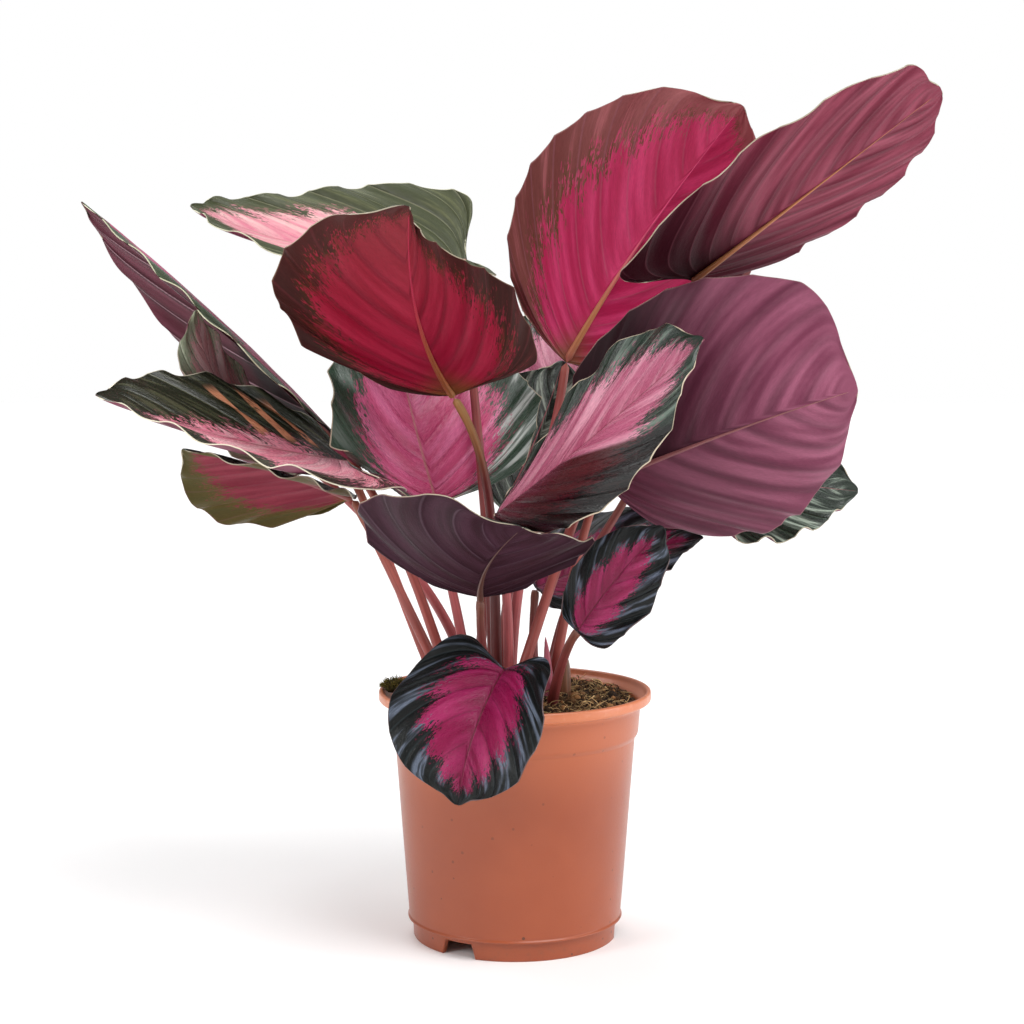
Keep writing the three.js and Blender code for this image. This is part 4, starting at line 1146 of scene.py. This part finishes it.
def crumbs_piece():
    """Loose crumbs of peat and bits of bark, half sunk in the soil's top."""
    rng = np.random.default_rng(11)
    groups = []
    for level, count, smallest, largest in (BIG_CRUMBS, SMALL_CRUMBS):
        lump, faces = ico_lump(rng, level)
        places = soil_spots(rng, count)
        sizes = rng.uniform(smallest, largest, (count, 1)) * rng.uniform(0.55, 1.2, (count, 3))
        places[:, 2] += sizes.min(1) * rng.uniform(-0.2, 0.7, count)
        points, cut = scatter(lump, faces, places, sizes, random_turns(rng, count))
        groups.append((points, cut, np.repeat(rng.uniform(0, 1, count) ** 3, len(lump))))
    big, small = groups
    faces = big[1] + (np.asarray(small[1]) + len(big[0])).tolist()
    points, tone = (np.concatenate([big[i], small[i]]) for i in (0, 2))
    skin = tone_skin("crumbs", srgb(26, 18, 13), srgb(168, 122, 78))
    return piece("soil_crumbs", points, faces, [skin], "soil", (), {"tone": tone})


def strands(places, turns, lengths, thick, bend, wriggle):
    """Thin bent strands of three sides: each runs along its own x, bows up in a parabola by bend, wriggles
    sideways on a sine and thins to its ends."""
    count, steps, sides = len(places), 7, 3
    t = np.linspace(0, 1, steps)[None]
    x = (t - 0.5) * lengths[:, None]
    z = bend[:, None] * lengths[:, None] * (0.25 - (t - 0.5) ** 2) * 4
    y = wriggle[:, :1] * lengths[:, None] * np.sin(wriggle[:, 1:2] + 5 * t)
    path = np.stack([x, y, z + 0 * t], -1)
    radius = thick[:, None] * np.clip(1 - np.abs(2 * t - 1) ** 3, 0.12, 1)
    angle = np.linspace(0, 2 * np.pi, sides, endpoint=False)
    ring = np.stack([0 * angle, np.cos(angle), np.sin(angle)], -1)
    points = path[:, :, None] + ring[None, None] * radius[:, :, None, None]
    points = np.einsum("nij,nskj->nski", turns, points) + places[:, None, None]
    ids = np.arange(steps * sides).reshape(steps, sides)
    beside = np.roll(ids, -1, axis=1)
    body = np.stack([ids[:-1], ids[1:], beside[1:], beside[:-1]], -1).reshape(-1, 4)
    offsets = np.arange(count)[:, None, None] * steps * sides
    faces = (body[None] + offsets).reshape(-1, 4).tolist()
    ends = np.stack([ids[0], ids[-1][::-1]])
    faces += (ends[None] + offsets).reshape(-1, sides).tolist()
    return points.reshape(-1, 3), faces, steps * sides


def flat_turns(rng, count, tilt):
    """Random rotations about the vertical after a little random tilt."""
    spin, lean = rng.uniform(0, 2 * np.pi, count), rng.normal(0, tilt, count)
    c, s, cl, sl = np.cos(spin), np.sin(spin), np.cos(lean), np.sin(lean)
    zero = 0 * c
    rows = [[c * cl, -s, c * sl], [s * cl, c, s * sl], [-sl, zero, cl]]
    return np.stack([np.stack(row, -1) for row in rows], -2)


def random_strands(rng, places, turns, length, thick, bend, sway, phase):
    """Strands whose length, thickness, bend, and sway and phase of the sine are drawn from their ranges."""
    count = len(places)
    lengths, thick = rng.uniform(*length, count), rng.uniform(*thick, count)
    bend = rng.uniform(*bend, count)
    wriggle = rng.uniform(-sway, sway, (count, 2)) + np.array([0, phase])
    return strands(places, turns, lengths, thick, bend, wriggle)


def fibres_piece():
    """Tan and brown fibres that lie in and bow out of the soil."""
    rng = np.random.default_rng(23)
    places = soil_spots(rng, FIBRES)
    places[:, 2] += rng.uniform(-0.6, 2.6, FIBRES)
    turns = flat_turns(rng, FIBRES, 0.45)
    points, faces, each = random_strands(rng, places, turns, (2, 10), (0.13, 0.34), (-0.1, 0.35), 0.3, 3)
    tone = np.repeat(rng.uniform(0, 1, FIBRES) ** 2, each)
    skin = tone_skin("fibres", srgb(52, 33, 21), srgb(252, 212, 150))
    return piece("soil_fibres", points, faces, [skin], "soil", (), {"tone": tone})


def moss_piece():
    """A tuft of moss and peat on the rim at the left: short strands that stand out of a small lump."""
    rng = np.random.default_rng(31)
    lump, lump_faces = ico_lump(rng, 2)
    core = lump * np.array(MOSS_RADIUS) * 0.85 + np.array(MOSS_PLACE)
    out = unit(rng.normal(size=(MOSS_STRANDS, 3)) * np.array([1, 1, 0.8]))
    out[:, 2] = np.abs(out[:, 2])
    places = out * np.array(MOSS_RADIUS) * rng.uniform(0.75, 1.05, (MOSS_STRANDS, 1)) + np.array(MOSS_PLACE)
    sideways = unit(np.cross(out, rng.normal(size=(MOSS_STRANDS, 3))))
    turns = np.stack([out, sideways, np.cross(out, sideways)], -1)
    points, faces, each = random_strands(rng, places, turns, (1.6, 4.6), (0.12, 0.3), (-0.3, 0.3), 0.2, 0)
    faces = faces + (np.asarray(lump_faces) + len(points)).tolist()
    tone = np.concatenate([np.repeat(rng.uniform(0, 1, MOSS_STRANDS), each), np.full(len(core), 0.1)])
    skin = tone_skin("moss", srgb(44, 38, 18), srgb(134, 122, 58))
    return piece("moss_tuft", np.concatenate([points, core]), faces, [skin], "soil", (), {"tone": tone})


def shoot_piece(name, node, slot, path, radius, twist, tip, ragged, colours, seed):
    """A shoot of rolled leaves: a cone on a quadratic curve whose section is a spiral, so that one edge of
    the roll shows as a seam that winds up it. Its radius shrinks as (1 - t ** tip) ** 0.8, and its rim is
    ragged by a sine round and along it."""
    t = np.linspace(0, 1, SHOOT_STEPS)[:, None]
    route = bow(*(np.array(p, float) for p in path), t)
    swell = radius * (0.75 + 0.25 * np.sin(np.pi * np.minimum(t * 1.4, 0.5))) * (1 - t ** tip) ** 0.8
    swell[0] = 0

    def seam(share, angle):
        """The spiral: the radius falls by 0.2 once round and jumps back at the seam."""
        spiral = 1.08 - 0.2 * ((angle / (2 * np.pi) + twist * share) % 1)
        return spiral + ragged * np.sin(7 * angle + 9 * share)

    reference = np.tile([1.0, 0.0, 0.0], (SHOOT_STEPS, 1))
    points, faces, angle = sweep_tube(route, reference, swell[:, 0], swell[:, 0], SHOOT_SIDES, seam)
    grid = np.broadcast_arrays(angle[None] / (2 * np.pi), t * 40, 0.6 * t)
    low, high, rib = colours
    skin = stalk_skin(f"{name}_skin", low, high, rib, rib, seed)
    return piece(name, points, faces, [skin], slot, [node], {"stem": poled(np.stack(grid, -1))})


def root_skin():
    """Pale fibrous root."""

    def build(n):
        fibre = n.noise(n.place(), 0.5, 5.0, 0.7)
        colour = n.mix(fibre, srgb(120, 92, 60), srgb(206, 180, 138))
        return colour, n.line(fibre, 0.2, 0.7), (fibre, 0.0008, 0.6)

    return material("root_fibre", build)


def floor_skin():
    """Matt pale floor with a barely uneven tone."""

    def build(n):
        cloud = n.noise(n.place(), 0.004, 2.0)
        return n.mix(cloud, srgb(251, 251, 251), srgb(254, 254, 254)), n.line(cloud, 0.1, 0.75), None

    return material("pale_floor", build, 0.2)


for index, plan in enumerate(LEAVES):
    plan["seed"] = 1.7 * index + 0.9
    blade_piece(f"{index + 1:02d}", plan)
    stalk_piece(f"{index + 1:02d}", plan)
pot_piece()
soil_piece()
crumbs_piece()
fibres_piece()
moss_piece()
shoot_piece("pink_shoot", "shoot_pink", "stalk", [(17, -12, 112), (17.5, -12.5, 132), (15.5, -12, 157)],
            3.3, 0.5, 2.6, 0.0, (srgb(168, 84, 100), srgb(140, 52, 78), PLUM_RIB), 3.3)
shoot_piece("dry_sheath", "shoot_sheath", "sheath", [(25, -9, 112), (24.5, -11, 130), (26, -13, 148)],
            3.7, 0.8, 5, 0.05, (srgb(112, 72, 50), srgb(88, 54, 38), TAN_RIB), 5.1)
shoot_piece("short_sheath", "shoot_short", "sheath", [(-1, -29, 112), (-1, -30, 130), (-2, -31, 144)],
            3.0, 0.7, 4, 0.05, (srgb(104, 66, 46), srgb(84, 50, 36), TAN_RIB), 8.2)

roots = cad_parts["rootstock"]
roots.data.materials.clear()
roots.data.materials.append(root_skin())

# Stage: camera, floor and lights
camera = bpy.data.cameras.new("camera")
camera.lens = CAMERA_LENS
camera.sensor_width = CAMERA_SENSOR
camera_object = placed("camera", camera)
camera_object.location = Vector(CAMERA_PLACE) + Vector(AXIS)
camera_object.rotation_euler = (math.radians(90 - CAMERA_TILT), 0, 0)
bpy.context.scene.camera = camera_object

floor_mesh = bpy.data.meshes.new("floor")
corners = [(x * FLOOR_REACH, y * FLOOR_REACH, 0) for x, y in ((-1, -1), (1, -1), (1, 1), (-1, 1))]
floor_mesh.from_pydata(corners, [], [(0, 1, 2, 3)])
floor_mesh.materials.append(floor_skin())
floor = placed("floor", floor_mesh)


def light(name, kind, place, target, power, **settings):
    """A light of a kind that looks from its place at its target. settings are its own size or angle."""
    lamp = bpy.data.lights.new(name, kind)
    lamp.energy = power
    for key, value in settings.items():
        setattr(lamp, key, value)
    thing = placed(name, lamp)
    thing.location = place
    thing.rotation_euler = (Vector(target) - Vector(place)).to_track_quat("-Z", "Y").to_euler()


light("key", "SUN", (0, 0, 0), (-0.52, 0.56, -1.0), 2.1, angle=SUN_ANGLE)
light("top", "SUN", (0, 0, 0), (0.35, -0.45, -1.0), 1.1, angle=SUN_ANGLE)
light("window", "AREA", (-1.2, -0.9, 0.9), (0, 0, 0.28), 9, size=BOX_SIZE)
light("side", "AREA", (1.3, -0.15, 0.3), (0, 0, 0.14), 5, size=BOX_SIZE)

# The camera sees a white surround, which lights the plant more softly than it looks
world = bpy.data.worlds.new("studio")
world.use_nodes = True
sky = Nodes(world.node_tree)
seen = sky.add("ShaderNodeBackground", {"Color": (1, 1, 1, 1), "Strength": 1.0})
lighting = sky.add("ShaderNodeBackground", {"Color": (1, 1, 1, 1), "Strength": 0.38})
ray = sky.add("ShaderNodeLightPath")
inputs = {0: ray.outputs["Is Camera Ray"], 1: lighting.outputs[0], 2: seen.outputs[0]}
both = sky.add("ShaderNodeMixShader", inputs)
world.node_tree.links.new(both.outputs[0], world.node_tree.nodes["World Output"].inputs["Surface"])
bpy.context.scene.world = world
bpy.context.scene.view_settings.view_transform = "Standard"
